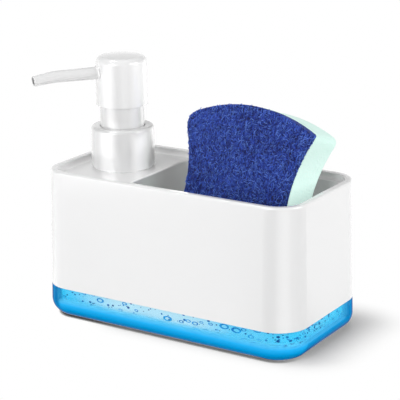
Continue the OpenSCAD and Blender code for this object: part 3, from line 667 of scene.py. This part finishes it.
def buildFibreGroup():
    tree, gin, gout = newGroup("fibreMottle", [
        ("Dark", "NodeSocketColor", (0, 0, 0, 1)), ("Body", "NodeSocketColor", (0, 0, 0.5, 1)),
        ("Bright", "NodeSocketColor", (0.2, 0.3, 1, 1)), ("Clump Scale", "NodeSocketFloat", 500.0),
        ("Height", "NodeSocketFloat", 0.001)],
        [("Color", "NodeSocketColor"), ("Normal", "NodeSocketVector")])
    take, look = gin.outputs, scourLook
    stretch = addNode(tree, "ShaderNodeMapping", (-1100, -300), {
        "Scale": look["stretch"], "Vector": objectCoords(tree, (-1300, -300))}).outputs[0]
    clump = noise(tree, stretch, {**look["clump"], "Scale": take["Clump Scale"]}, (-850, 100))
    broad = noise(tree, stretch, look["broad"], (-850, -300))
    holes = addNode(tree, "ShaderNodeTexVoronoi", (-850, -600), {**look["holes"], "Vector": stretch})
    mottle = mapRange(tree, clump, (-600, 100), look["clumpSpan"])
    lift = mapRange(tree, broad, (-600, -300), look["broadSpan"], look["lift"])
    total = addNode(tree, "ShaderNodeMath", (-400, 0), {
        0: mottle, 1: lift}, operation="ADD", use_clamp=True).outputs[0]
    low = mapRange(tree, total, (-200, 200), (0.0, look["middle"]))
    high = mapRange(tree, total, (-200, -50), (look["middle"], 1.0))
    lower = blend(tree, low, take["Dark"], take["Body"], (50, 200))
    relief = calc(tree, "ADD", clump, holes.outputs["Distance"], (50, -300))
    bump = addNode(tree, "ShaderNodeBump", (250, -250), {
        "Strength": 1.0, "Distance": take["Height"], "Height": relief})
    feed(tree, gout, {"Color": blend(tree, high, lower, take["Bright"], (250, 100)),
                      "Normal": bump.outputs[0]})
    return tree


def fibreMaterial(name, group, key, toned=False):
    mat, tree, bsdf = newMaterial(name, {"Roughness": 0.75, "IOR": 1.35, "Sheen Weight": 0.05,
                                         "Sheen Roughness": 0.4})
    gain, height, scale = scourLook[key]
    look = {k.capitalize(): tuple(min(1.0, c * gain) for c in scourLook[k][:3]) + (1,)
            for k in ("dark", "body", "bright")}
    use = addNode(tree, "ShaderNodeGroup", (-150, 0), {
        **look, "Clump Scale": scale, "Height": height}, node_tree=group)
    colour = use.outputs["Color"]
    if toned:
        # each strand has its own tone, written by the node tree that lays it
        own = addNode(tree, "ShaderNodeAttribute", (-500, 300), attribute_name="strandTone")
        marks = list(zip(scourLook["toneSpan"], (scourLook["low"], scourLook["top"])))
        tone = colourRamp(tree, own.outputs["Fac"], marks, (-300, 300))
        colour = blend(tree, scourLook["toneShare"], colour, tone, (-100, 300))
    feed(tree, bsdf, {"Base Color": plainBounce(tree, colour, scourLook["bounce"], (50, 300)),
                      "Normal": use.outputs["Normal"]})
    return mat


foamMat = foamMaterial()
fibreGroup = buildFibreGroup()
webMat = fibreMaterial("scourWeb", fibreGroup, "web")
strandMat = fibreMaterial("scourStrand", fibreGroup, "strand", toned=True)

# both in mm, with the steps that draw them: the foam's depths count from its seam with the pad,
# the pad's from the sponge's face, and insets from the outline
foamShape = {"base": (0.05, 0.25), "lip": ((0.02, 0.3), (0.25, 0.05)), "sideFrom": 0.6, "inset": 0.02,
             "bow": 0.5, "round": 1.6, "flatten": 0.97, "face": 0.05, "crown": 0.35, "seamRings": 2,
             "sideSteps": 8, "roundSteps": 6, "faceRings": 12}
scourShape = {"proud": 0.25, "edge": 0.7, "skin": 0.2, "backGap": 0.3, "backInset": 0.5, "edgeSteps": 5,
              "sideSteps": 6, "faceRings": 40, "backRings": 2}


def makeFoam():
    p = foamShape
    seam, face = spongeShape["scour"], spongeShape["thick"]
    r, inset, n = p["round"], p["inset"], p["sideSteps"]
    first, last = seam + p["sideFrom"], face - p["round"]
    layers = list(reversed(capLayers(seam + p["base"][0], p["base"][1], 1, p["seamRings"], 0.0)))
    layers += [(seam + depth, edge, 1.0) for depth, edge in p["lip"]]
    layers += [(first + (last - first) * i / n, inset + p["bow"] * math.sin(math.pi * i / n), 1.0)
               for i in range(n + 1)]
    for k in range(1, p["roundSteps"] + 1):
        a = math.pi / 2 * k / p["roundSteps"]
        layers.append((last + r * math.sin(a) * p["flatten"], inset + r * (1 - math.cos(a)), 1.0))
    layers += capLayers(face - p["face"], r + inset, -1, p["faceRings"], p["crown"])
    return slabRings(spongeOutline(spongeShape["foamCorner"]), layers, foamMat, "foamBlock")


def scourLayers():
    p, back = scourShape, spongeShape["scour"]
    proud, edge, skin = p["proud"], p["edge"], p["skin"]
    layers = list(reversed(capLayers(proud, edge + skin, 1, p["faceRings"], 0.0)))
    for k in range(p["edgeSteps"] + 1):
        a = math.pi / 2 * k / p["edgeSteps"]
        layers.append((proud + edge * (1 - math.cos(a)), skin + edge * (1 - math.sin(a)), 1.0))
    layers += [(proud + edge + (back - edge - p["backGap"]) * i / p["sideSteps"], skin, 1.0)
               for i in range(1, p["sideSteps"] + 1)]
    return layers


def makeScour():
    back, inset = spongeShape["scour"], scourShape["backInset"]
    layers = scourLayers() + [(back, inset, 1.0)] + capLayers(back, inset, 1, scourShape["backRings"], 0.0)
    return slabRings(spongeOutline(spongeShape["sharp"]), layers, webMat, "scourPad")


# Strands that stand out of the pad, laid by a node tree
strandShape = {"density": 0.72e6, "seed": 7, "length": 2.7 * mm, "thickness": 0.18 * mm,
               "leastScale": 0.45, "mostScale": 1.2, "faceFrom": 0.6, "flankFrom": 0.75,
               "arcFrom": 15, "arcSweep": 150, "arcSteps": 4, "sides": 3, "lean": 82, "radiusShare": 0.42,
               "sinkShare": 0.28, "wobble": 0.35, "spin": 6.28318}


def socketId(tree, label):
    return [s.identifier for s in tree.interface.items_tree
            if s.item_type == "SOCKET" and s.in_out == "INPUT" and s.name == label][0]


def newGeometryTree(name, inputs):
    tree = bpy.data.node_groups.new(name, "GeometryNodeTree")
    tree.interface.new_socket("Geometry", in_out="INPUT", socket_type="NodeSocketGeometry")
    for label, kind, value in inputs:
        socket = tree.interface.new_socket(label, in_out="INPUT", socket_type=kind)
        socket.default_value = value
    tree.interface.new_socket("Geometry", in_out="OUTPUT", socket_type="NodeSocketGeometry")
    return tree, addNode(tree, "NodeGroupInput", (-1000, 0)), addNode(tree, "NodeGroupOutput", (1000, 0))


def growTree(source, tree, values, name):
    # runs the tree on the source mesh and keeps the result as a plain mesh
    mod = source.modifiers.new("grow", "NODES")
    mod.node_group = tree
    for label, value in values.items():
        mod[socketId(tree, label)] = value
    bpy.context.view_layer.update()
    deps = bpy.context.evaluated_depsgraph_get()
    mesh = bpy.data.meshes.new_from_object(source.evaluated_get(deps), depsgraph=deps)
    source.modifiers.remove(mod)
    obj = bpy.data.objects.new(name, mesh)
    bpy.context.scene.collection.objects.link(obj)
    return obj


def solidMesh(tree, instances, mat, place):
    solid = addNode(tree, "GeometryNodeRealizeInstances", place, {0: instances})
    return addNode(tree, "GeometryNodeSetMaterial", (place[0] + 160, place[1]), {
        "Geometry": solid.outputs[0], "Material": mat}).outputs[0]


def strandSides(tree):
    # strands grow on the face and on the right flank; the silhouette stays smooth elsewhere
    turn = spongeMatrix().to_3x3()
    wall = addNode(tree, "GeometryNodeInputNormal", (-1300, 500)).outputs[0]
    total = None
    sides = (((0, -1, 0), strandShape["faceFrom"]), ((1, 0, 0), strandShape["flankFrom"]))
    for i, (way, least) in enumerate(sides):
        along = addNode(tree, "ShaderNodeVectorMath", (-1150, 500 + 150 * i), {
            0: wall, 1: (turn @ Vector(way)).normalized()}, operation="DOT_PRODUCT").outputs["Value"]
        more = calc(tree, "GREATER_THAN", along, least, (-1000, 500 + 150 * i))
        total = larger(tree, total, more, (-850, 550))
    return total


def strandPiece(tree, take):
    # one bent strand: an arc with a thin section, laid over and sunk a little into the pad
    p = strandShape
    radius = calc(tree, "MULTIPLY", take["Length"], p["radiusShare"], (-880, -250))
    depth = calc(tree, "MULTIPLY", take["Length"], -p["sinkShare"], (-480, -550))
    arc = addNode(tree, "GeometryNodeCurveArc", (-700, -200), {
        "Resolution": p["arcSteps"], "Start Angle": math.radians(p["arcFrom"]),
        "Sweep Angle": math.radians(p["arcSweep"]), "Radius": radius})
    ring = addNode(tree, "GeometryNodeCurvePrimitiveCircle", (-700, -450), {
        "Resolution": p["sides"], "Radius": take["Thickness"]})
    tube = addNode(tree, "GeometryNodeCurveToMesh", (-500, -300), {
        "Curve": arc.outputs["Curve"], "Profile Curve": ring.outputs["Curve"], "Fill Caps": True})
    over = addNode(tree, "GeometryNodeTransform", (-300, -200), {
        0: tube.outputs[0], "Rotation": (math.radians(p["lean"]), 0, 0)})
    sink = addNode(tree, "ShaderNodeCombineXYZ", (-300, -450), {"Z": depth})
    return addNode(tree, "GeometryNodeTransform", (-120, -200), {
        0: over.outputs[0], "Translation": sink.outputs[0]}).outputs[0]


def buildStrandTree(mat):
    tree, gin, gout = newGeometryTree("strandTree", [
        ("Density", "NodeSocketFloat", 1e6), ("Seed", "NodeSocketInt", 1),
        ("Length", "NodeSocketFloat", 0.002), ("Thickness", "NodeSocketFloat", 0.0001),
        ("Least Scale", "NodeSocketFloat", 0.5), ("Most Scale", "NodeSocketFloat", 1.3)])
    take, wobble = gin.outputs, strandShape["wobble"]
    scatter = addNode(tree, "GeometryNodeDistributePointsOnFaces", (-700, 200), {
        "Mesh": take["Geometry"], "Density": take["Density"], "Seed": take["Seed"],
        "Selection": strandSides(tree)})
    spin = addNode(tree, "FunctionNodeRandomValue", (-500, 450), {
        0: (-wobble, -wobble, 0.0), 1: (wobble, wobble, strandShape["spin"])}, data_type="FLOAT_VECTOR")
    size = addNode(tree, "FunctionNodeRandomValue", (-500, 700), {
        2: take["Least Scale"], 3: take["Most Scale"]}, data_type="FLOAT")
    place = addNode(tree, "GeometryNodeInstanceOnPoints", (100, 100), {
        "Points": scatter.outputs["Points"], "Instance": strandPiece(tree, take),
        "Rotation": scatter.outputs["Rotation"], "Scale": size.outputs[1]})
    twirl = addNode(tree, "GeometryNodeRotateInstances", (300, 100), {
        "Instances": place.outputs[0], "Rotation": spin.outputs[0]})
    chance = addNode(tree, "FunctionNodeRandomValue", (300, 400), data_type="FLOAT")
    mark = addNode(tree, "GeometryNodeStoreNamedAttribute", (420, 250), {
        "Name": "strandTone", "Geometry": twirl.outputs[0],
        "Value": chance.outputs[1]}, data_type="FLOAT", domain="INSTANCE")
    feed(tree, gout, {0: solidMesh(tree, mark.outputs[0], mat, (560, 100))})
    return tree


foam = makeFoam()
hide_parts("sponge_foam")
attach(foam, "sponge")
scour = makeScour()
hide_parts("scouring_pad")
bed = slabRings(spongeOutline(spongeShape["sharp"]), scourLayers(), webMat, "strandBed", closed=False)
strands = growTree(bed, buildStrandTree(strandMat), {
    "Density": strandShape["density"], "Seed": strandShape["seed"], "Length": strandShape["length"],
    "Thickness": strandShape["thickness"], "Least Scale": strandShape["leastScale"],
    "Most Scale": strandShape["mostScale"]}, "scourStrands")
bpy.data.objects.remove(bed)
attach(scour, "sponge")
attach(strands, "sponge")
print("caddy: sponge made,", len(strands.data.polygons), "strand faces")


# Bubbles against the tank's inner wall: small dark specks in clusters and a few wide rings
# the wall in mm, how the bubbles crowd, and a ball's or rim's own form for a size of 1
bubbleShape = {"inset": 2.55, "halfX": 60.0, "halfY": 22.5, "low": 7.5, "high": 16.6, "corner": 15.0,
               "slope": 0.02444, "boxTop": 80.0, "rows": 4, "cornerSteps": 12, "depth": 0.3, "ballSteps": 2,
               "rim": {"Resolution": 14, "Radius": 0.9}, "rimWire": {"Resolution": 4, "Radius": 0.27},
               "patchTo": 0.62, "patchShare": (0.01, 0.6)}
bubbleKinds = [
    {"name": "bubbleSpecks", "density": 0.60e6, "seed": 8, "least": 0.28 * mm, "most": 0.95 * mm,
     "rarity": 2.4, "patchScale": 70.0, "patchFrom": 0.42, "squash": 0.7, "sideGain": 1.8,
     "spacing": 0.8 * mm, "ring": False},
    {"name": "bubbleRings", "density": 0.60e6, "seed": 5, "least": 0.9 * mm, "most": 2.7 * mm,
     "rarity": 1.4, "patchScale": 45.0, "patchFrom": 0.10, "squash": 0.5, "sideGain": -0.5,
     "spacing": 3.9 * mm, "ring": True}]


def bubbleBand():
    p = bubbleShape
    steps, verts = p["cornerSteps"] + 1, []
    for row in range(p["rows"] + 1):
        z = p["low"] + (p["high"] - p["low"]) * row / p["rows"]
        r = p["corner"] + (p["boxTop"] - z) * p["slope"] - p["inset"]
        for q, (sx, sy) in enumerate([(1, 1), (-1, 1), (-1, -1), (1, -1)]):
            for k in range(steps):
                a = math.radians(90 * q + 90 * k / p["cornerSteps"])
                x, y = sx * p["halfX"] + r * math.cos(a), sy * p["halfY"] + r * math.sin(a)
                verts.append(Vector((x, y, z)) * mm)
    return makeObject("bubbleBand", verts, ringFaces(p["rows"] + 1, 4 * steps), speckMat)


def bubbleCrowd(tree, take):
    # how thickly bubbles lie: in patches, and more or fewer of them on the right end
    spot = addNode(tree, "GeometryNodeInputPosition", (-1000, 400))
    patch = noise(tree, spot.outputs[0], {"Detail": 2.0, "Scale": take["Patch Scale"]}, (-850, 400))
    bunch = mapRange(tree, patch, (-650, 400), (take["Patch From"], bubbleShape["patchTo"]),
                     bubbleShape["patchShare"])
    wall = addNode(tree, "GeometryNodeInputNormal", (-1000, 700))
    across = addNode(tree, "ShaderNodeSeparateXYZ", (-850, 700), {0: wall.outputs[0]})
    end = calc(tree, "MAXIMUM", across.outputs["X"], 0.0, (-700, 700))
    more = calc(tree, "MULTIPLY_ADD", end, take["Side Gain"], (-550, 700), third=1.0)
    return calc(tree, "MULTIPLY", bunch, more, (-400, 600))


def bubbleTurn(tree, normal):
    # each bubble lies flat on the wall
    aim = addNode(tree, "ShaderNodeSeparateXYZ", (-250, 600), {0: normal})
    yaw = calc(tree, "ARCTAN2", aim.outputs["Y"], aim.outputs["X"], (-50, 600))
    quarter = calc(tree, "ADD", yaw, math.pi / 2, (100, 600))
    return addNode(tree, "ShaderNodeCombineXYZ", (250, 600), {"X": math.pi / 2, "Z": quarter}).outputs[0]


def bubblePiece(tree, take, ring):
    # a ring or a ball, wider than it is high
    if ring:
        rim = addNode(tree, "GeometryNodeCurvePrimitiveCircle", (-400, -350), bubbleShape["rim"])
        wire = addNode(tree, "GeometryNodeCurvePrimitiveCircle", (-400, -550), bubbleShape["rimWire"])
        ball = addNode(tree, "GeometryNodeCurveToMesh", (-200, -350), {
            "Curve": rim.outputs[0], "Profile Curve": wire.outputs[0]})
    else:
        ball = addNode(tree, "GeometryNodeMeshIcoSphere", (-50, -350), {
            "Radius": 1.0, "Subdivisions": bubbleShape["ballSteps"]})
    shape = addNode(tree, "ShaderNodeCombineXYZ", (-50, -550), {
        "X": 1.0, "Y": take["Squash"], "Z": bubbleShape["depth"]})
    flat = addNode(tree, "GeometryNodeTransform", (150, -350), {
        0: ball.outputs[0], "Scale": shape.outputs[0]})
    return addNode(tree, "GeometryNodeSetShadeSmooth", (250, -350), {0: flat.outputs[0]}).outputs[0]


def buildBubbleTree(name, mat, ring):
    tree, gin, gout = newGeometryTree(name, [
        ("Density", "NodeSocketFloat", 1e5), ("Seed", "NodeSocketInt", 1),
        ("Least", "NodeSocketFloat", 0.0001), ("Most", "NodeSocketFloat", 0.001),
        ("Rarity", "NodeSocketFloat", 3.0),
        ("Patch Scale", "NodeSocketFloat", 45.0), ("Patch From", "NodeSocketFloat", 0.45),
        ("Squash", "NodeSocketFloat", 0.6), ("Side Gain", "NodeSocketFloat", 1.0),
        ("Spacing", "NodeSocketFloat", 0.001)])
    take = gin.outputs
    scatter = addNode(tree, "GeometryNodeDistributePointsOnFaces", (-250, 200), {
        "Mesh": take["Geometry"], "Distance Min": take["Spacing"], "Density Max": take["Density"],
        "Density Factor": bubbleCrowd(tree, take), "Seed": take["Seed"]}, distribute_method="POISSON")
    chance = addNode(tree, "FunctionNodeRandomValue", (-450, -150), data_type="FLOAT")
    rare = calc(tree, "POWER", chance.outputs[1], take["Rarity"], (-250, -150))
    size = mapRange(tree, rare, (-50, -150), end=(take["Least"], take["Most"]))
    place = addNode(tree, "GeometryNodeInstanceOnPoints", (400, 100), {
        "Points": scatter.outputs["Points"], "Instance": bubblePiece(tree, take, ring),
        "Rotation": bubbleTurn(tree, scatter.outputs["Normal"]), "Scale": size})
    feed(tree, gout, {0: solidMesh(tree, place.outputs[0], mat, (600, 100))})
    return tree


def makeBubbles(kind, mat):
    band = bubbleBand()
    bubbles = growTree(band, buildBubbleTree(kind["name"] + "Tree", mat, kind["ring"]), {
        "Density": kind["density"], "Seed": kind["seed"], "Least": kind["least"], "Most": kind["most"],
        "Rarity": kind["rarity"], "Patch Scale": kind["patchScale"], "Patch From": kind["patchFrom"],
        "Squash": kind["squash"], "Side Gain": kind["sideGain"], "Spacing": kind["spacing"]}, kind["name"])
    bpy.data.objects.remove(band)
    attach(bubbles, "caddy")
    print("caddy:", kind["name"], "has", len(bubbles.data.polygons), "faces")


for kind, mat in zip(bubbleKinds, (speckMat, ringMat)):
    makeBubbles(kind, mat)


# Floor and light
studio = {
    "horizon": 0.46, "zenith": 0.18, "mirrorSky": 0.5, "mirrorRise": (0.05, 0.6),
    "aim": (0, 0, 0.06), "shadeSamples": 8, "floorHalf": 4, "floorTone": 0.72, "floorLift": 0.30,
    # shade under the object, seen from one side: reach in m, then tones
    "shadeFrom": (-0.75, -0.25, 0.6), "shadeReach": 0.06, "shadeMost": 0.4, "shadeTone": 0.0,
    "contactFrom": (-0.5, 0.1, 0.85), "contactReach": 0.0021, "contactSpan": (0.3, 0.82),
    "contactTone": 0.05,
    # the shadow's area in m, outside which the table fades to white
    "fadeCentre": (0.024, 0.010, 0.0), "fadeHalf": (0.047, 0.024, 0.0), "fadeSpan": (0.003, 0.034),
    # the bands of light on the table that the walls mirror: the front corner, then bearing and glow
    "mirrorCentre": (0.060, -0.0225, 0.0),
    "mirror": ((-180, 1.6), (-126, 1.6), (-120, 1.4), (-113, 1.0), (-98, 0.45), (-76, 0.45), (-58, 1.3),
               (-40, 1.45), (-28, 1.1), (-14, 0.45), (10, 0.3), (36, 0.55), (50, 0.8), (56, 1.1),
               (90, 1.1))}
seenRays = ("Is Camera Ray", "Is Glossy Ray", "Is Transmission Ray")
# soft lamps: bearing and height in degrees, distance and size in m
lamps = [
    {"name": "leftSoftbox", "bearing": -98.0, "height": 18.0, "away": 1.0, "size": (0.6, 0.6), "glow": 3.9},
    {"name": "rightSoftbox", "bearing": 10.0, "height": 18.0, "away": 1.0, "size": (0.6, 0.6), "glow": 4.7},
    {"name": "steepKey", "bearing": -150.0, "height": 68.0, "away": 1.0, "size": (0.3, 0.3), "glow": 11.6}]
# strip lights that only reflections show: centre, bearing they light towards, width and height in mm
strips = [
    {"name": "pumpLeftStrip", "at": (-112, -141, 94), "towards": 66.5, "size": (205, 102), "glow": 2.45},
    {"name": "collarLeftStrip", "at": (-49.2, -21.8, 86), "towards": 75.0, "size": (22, 30), "glow": 2.4},
    {"name": "pumpRightStrip", "at": (-26, 1.0, 110), "towards": 185.0, "size": (26, 64), "glow": 2.6},
    {"name": "collarRightStrip", "at": (-28, -5.2, 85), "towards": 185.0, "size": (21, 24), "glow": 3.6},
    {"name": "pumpBackStrip", "at": (-27, 25, 112), "towards": 250.0, "size": (24, 62), "glow": 1.6}]
stripSteps = ((0.95, 0.95), (0.65, 0.82), (0.35, 0.70))  # nested sizes, so that a strip fades to its edge
stripStep = 0.3 * mm


def nearShade(tree, reach, side, start, end, place, soft=False):
    near = addNode(tree, "ShaderNodeAmbientOcclusion", place, {
        "Distance": reach, "Normal": Vector(side).normalized()}, samples=studio["shadeSamples"])
    return mapRange(tree, near.outputs["AO"], (place[0] + 200, place[1]), start, end, soft)


def shadowDistance(tree, coords):
    # how far a point of the table lies outside the shadow's area
    steps = (("SUBTRACT", studio["fadeCentre"]), ("ABSOLUTE", None), ("SUBTRACT", studio["fadeHalf"]),
             ("MAXIMUM", (0, 0, 0)), ("LENGTH", None))
    reach = coords
    for i, (operation, value) in enumerate(steps):
        feeds = {0: reach} if value is None else {0: reach, 1: value}
        step = addNode(tree, "ShaderNodeVectorMath", (-1500 + 150 * i, -400), feeds, operation=operation)
        reach = step.outputs["Value" if operation == "LENGTH" else "Vector"]
    return reach


def mirrorBands(tree, coords):
    # what the polished walls mirror: soft bands of light on the table, by bearing from the front corner
    middle = addNode(tree, "ShaderNodeVectorMath", (-700, -600), {
        0: coords, 1: studio["mirrorCentre"]}, operation="SUBTRACT")
    sides = addNode(tree, "ShaderNodeSeparateXYZ", (-500, -600), {0: middle.outputs[0]})
    turn = calc(tree, "ARCTAN2", sides.outputs["Y"], sides.outputs["X"], (-350, -600))
    share = mapRange(tree, turn, (-200, -600), (-math.pi, math.pi))
    top = max(glow for bearing, glow in studio["mirror"])
    marks = [((bearing + 180) / 360, grey(glow / top)) for bearing, glow in studio["mirror"]]
    bands = colourRamp(tree, share, marks, (-50, -600), smooth=True)
    return addNode(tree, "ShaderNodeEmission", (250, -600), {"Color": bands, "Strength": top}).outputs[0]


def floorMaterial():
    mat, tree, bsdf = newMaterial("paleFloor", {
        "Roughness": 0.9, "IOR": 1.2, "Base Color": grey(studio["floorTone"])})
    mat.cycles.emission_sampling = "NONE"
    coords = objectCoords(tree, (-900, -200))
    shade = nearShade(tree, studio["shadeReach"], studio["shadeFrom"], (studio["shadeMost"], 1.0),
                      (studio["shadeTone"], studio["floorLift"]), (-700, 200))
    lift = addNode(tree, "ShaderNodeEmission", (0, -250), {"Color": grey(1.0), "Strength": shade})
    lifted = addNode(tree, "ShaderNodeAddShader", (200, -200), {0: bsdf.outputs[0], 1: lift.outputs[0]})
    touch = nearShade(tree, studio["contactReach"], studio["contactFrom"], studio["contactSpan"],
                      (studio["contactTone"], 1.0), (-700, -850), soft=True)
    plain = addNode(tree, "ShaderNodeEmission", (0, -400), {"Color": grey(1.0), "Strength": touch})
    fade = mapRange(tree, shadowDistance(tree, coords), (-500, -200), studio["fadeSpan"], soft=True)
    path = addNode(tree, "ShaderNodeLightPath", (-500, 400))
    shown = anyOf(tree, path, seenRays, (-250, 400))
    seen = mixShader(tree, fade, lifted.outputs[0], plain.outputs[0], (400, -200))
    viewed = mixShader(tree, path.outputs["Is Glossy Ray"], seen, mirrorBands(tree, coords), (550, -350))
    final = mixShader(tree, shown, bsdf.outputs[0], viewed, (750, 0))
    feed(tree, nodeOfKind(tree, "OUTPUT_MATERIAL"), {0: final})
    return mat


def makeFloor():
    half = studio["floorHalf"]
    verts = [(-half, -half, 0), (half, -half, 0), (half, half, 0), (-half, half, 0)]
    floor = makeObject("paleFloor", verts, [(0, 1, 2, 3)], floorMaterial(), smooth=False)


def makeWorld():
    world = bpy.data.worlds.new("studioWorld")
    world.use_nodes = True
    tree = world.node_tree
    tree.nodes.clear()
    path = addNode(tree, "ShaderNodeLightPath", (-400, 200))
    way = addNode(tree, "ShaderNodeTexCoord", (-900, 0))
    rise = heightOf(tree, way.outputs["Generated"], (-700, 0))
    sky = mapRange(tree, rise, (-400, 0), end=(studio["horizon"], studio["zenith"]))
    ambient = addNode(tree, "ShaderNodeBackground", (0, 100), {"Color": grey(1.0), "Strength": sky})
    # mirrors see the sky turn grey above the white horizon, so that tops keep their shape
    dim = mapRange(tree, rise, (-500, -200), studio["mirrorRise"],
                   (0.0, studio["mirrorSky"] - 1), soft=True)
    level = calc(tree, "MULTIPLY_ADD", path.outputs["Is Glossy Ray"], dim, (-250, -150), third=1.0)
    white = addNode(tree, "ShaderNodeBackground", (0, -100), {"Color": grey(1.0), "Strength": level})
    seen = anyOf(tree, path, seenRays, (-200, 250))
    mixed = mixShader(tree, seen, ambient.outputs[0], white.outputs[0], (300, 0))
    addNode(tree, "ShaderNodeOutputWorld", (600, 0), {0: mixed})
    bpy.context.scene.world = world


def makeLamps():
    aim = Vector(studio["aim"])
    for lamp in lamps:
        data = bpy.data.lights.new(lamp["name"], "AREA")
        data.shape = "RECTANGLE"
        data.size, data.size_y = lamp["size"]
        data.energy = lamp["glow"] * math.pi * data.size * data.size_y
        obj = bpy.data.objects.new(lamp["name"], data)
        turn, rise = math.radians(lamp["bearing"]), math.radians(lamp["height"])
        away = Vector((math.cos(turn) * math.cos(rise), math.sin(turn) * math.cos(rise), math.sin(rise)))
        obj.location = aim + away * lamp["away"]
        obj.rotation_euler = (-away).to_track_quat("-Z", "Y").to_euler()
        bpy.context.scene.collection.objects.link(obj)


def makeStrip(strip):
    turn = math.radians(strip["towards"])
    toward = Vector((math.cos(turn), math.sin(turn), 0))
    for i, (wide, tall) in enumerate(stripSteps):
        light = bpy.data.lights.new(strip["name"], "AREA")
        light.shape = "RECTANGLE"
        light.size, light.size_y = strip["size"][0] * wide * mm, strip["size"][1] * tall * mm
        light.energy = strip["glow"] / len(stripSteps) * math.pi * light.size * light.size_y
        obj = bpy.data.objects.new(strip["name"] + str(i), light)
        obj.location = Vector(strip["at"]) * mm + toward * stripStep * i
        obj.rotation_euler = toward.to_track_quat("-Z", "Y").to_euler()
        obj.visible_camera = obj.visible_diffuse = obj.visible_transmission = False
        bpy.context.scene.collection.objects.link(obj)


for strip in strips:
    makeStrip(strip)
makeFloor()
makeWorld()
makeLamps()
bpy.context.scene.view_settings.view_transform = "Standard"
print("caddy: studio lit")
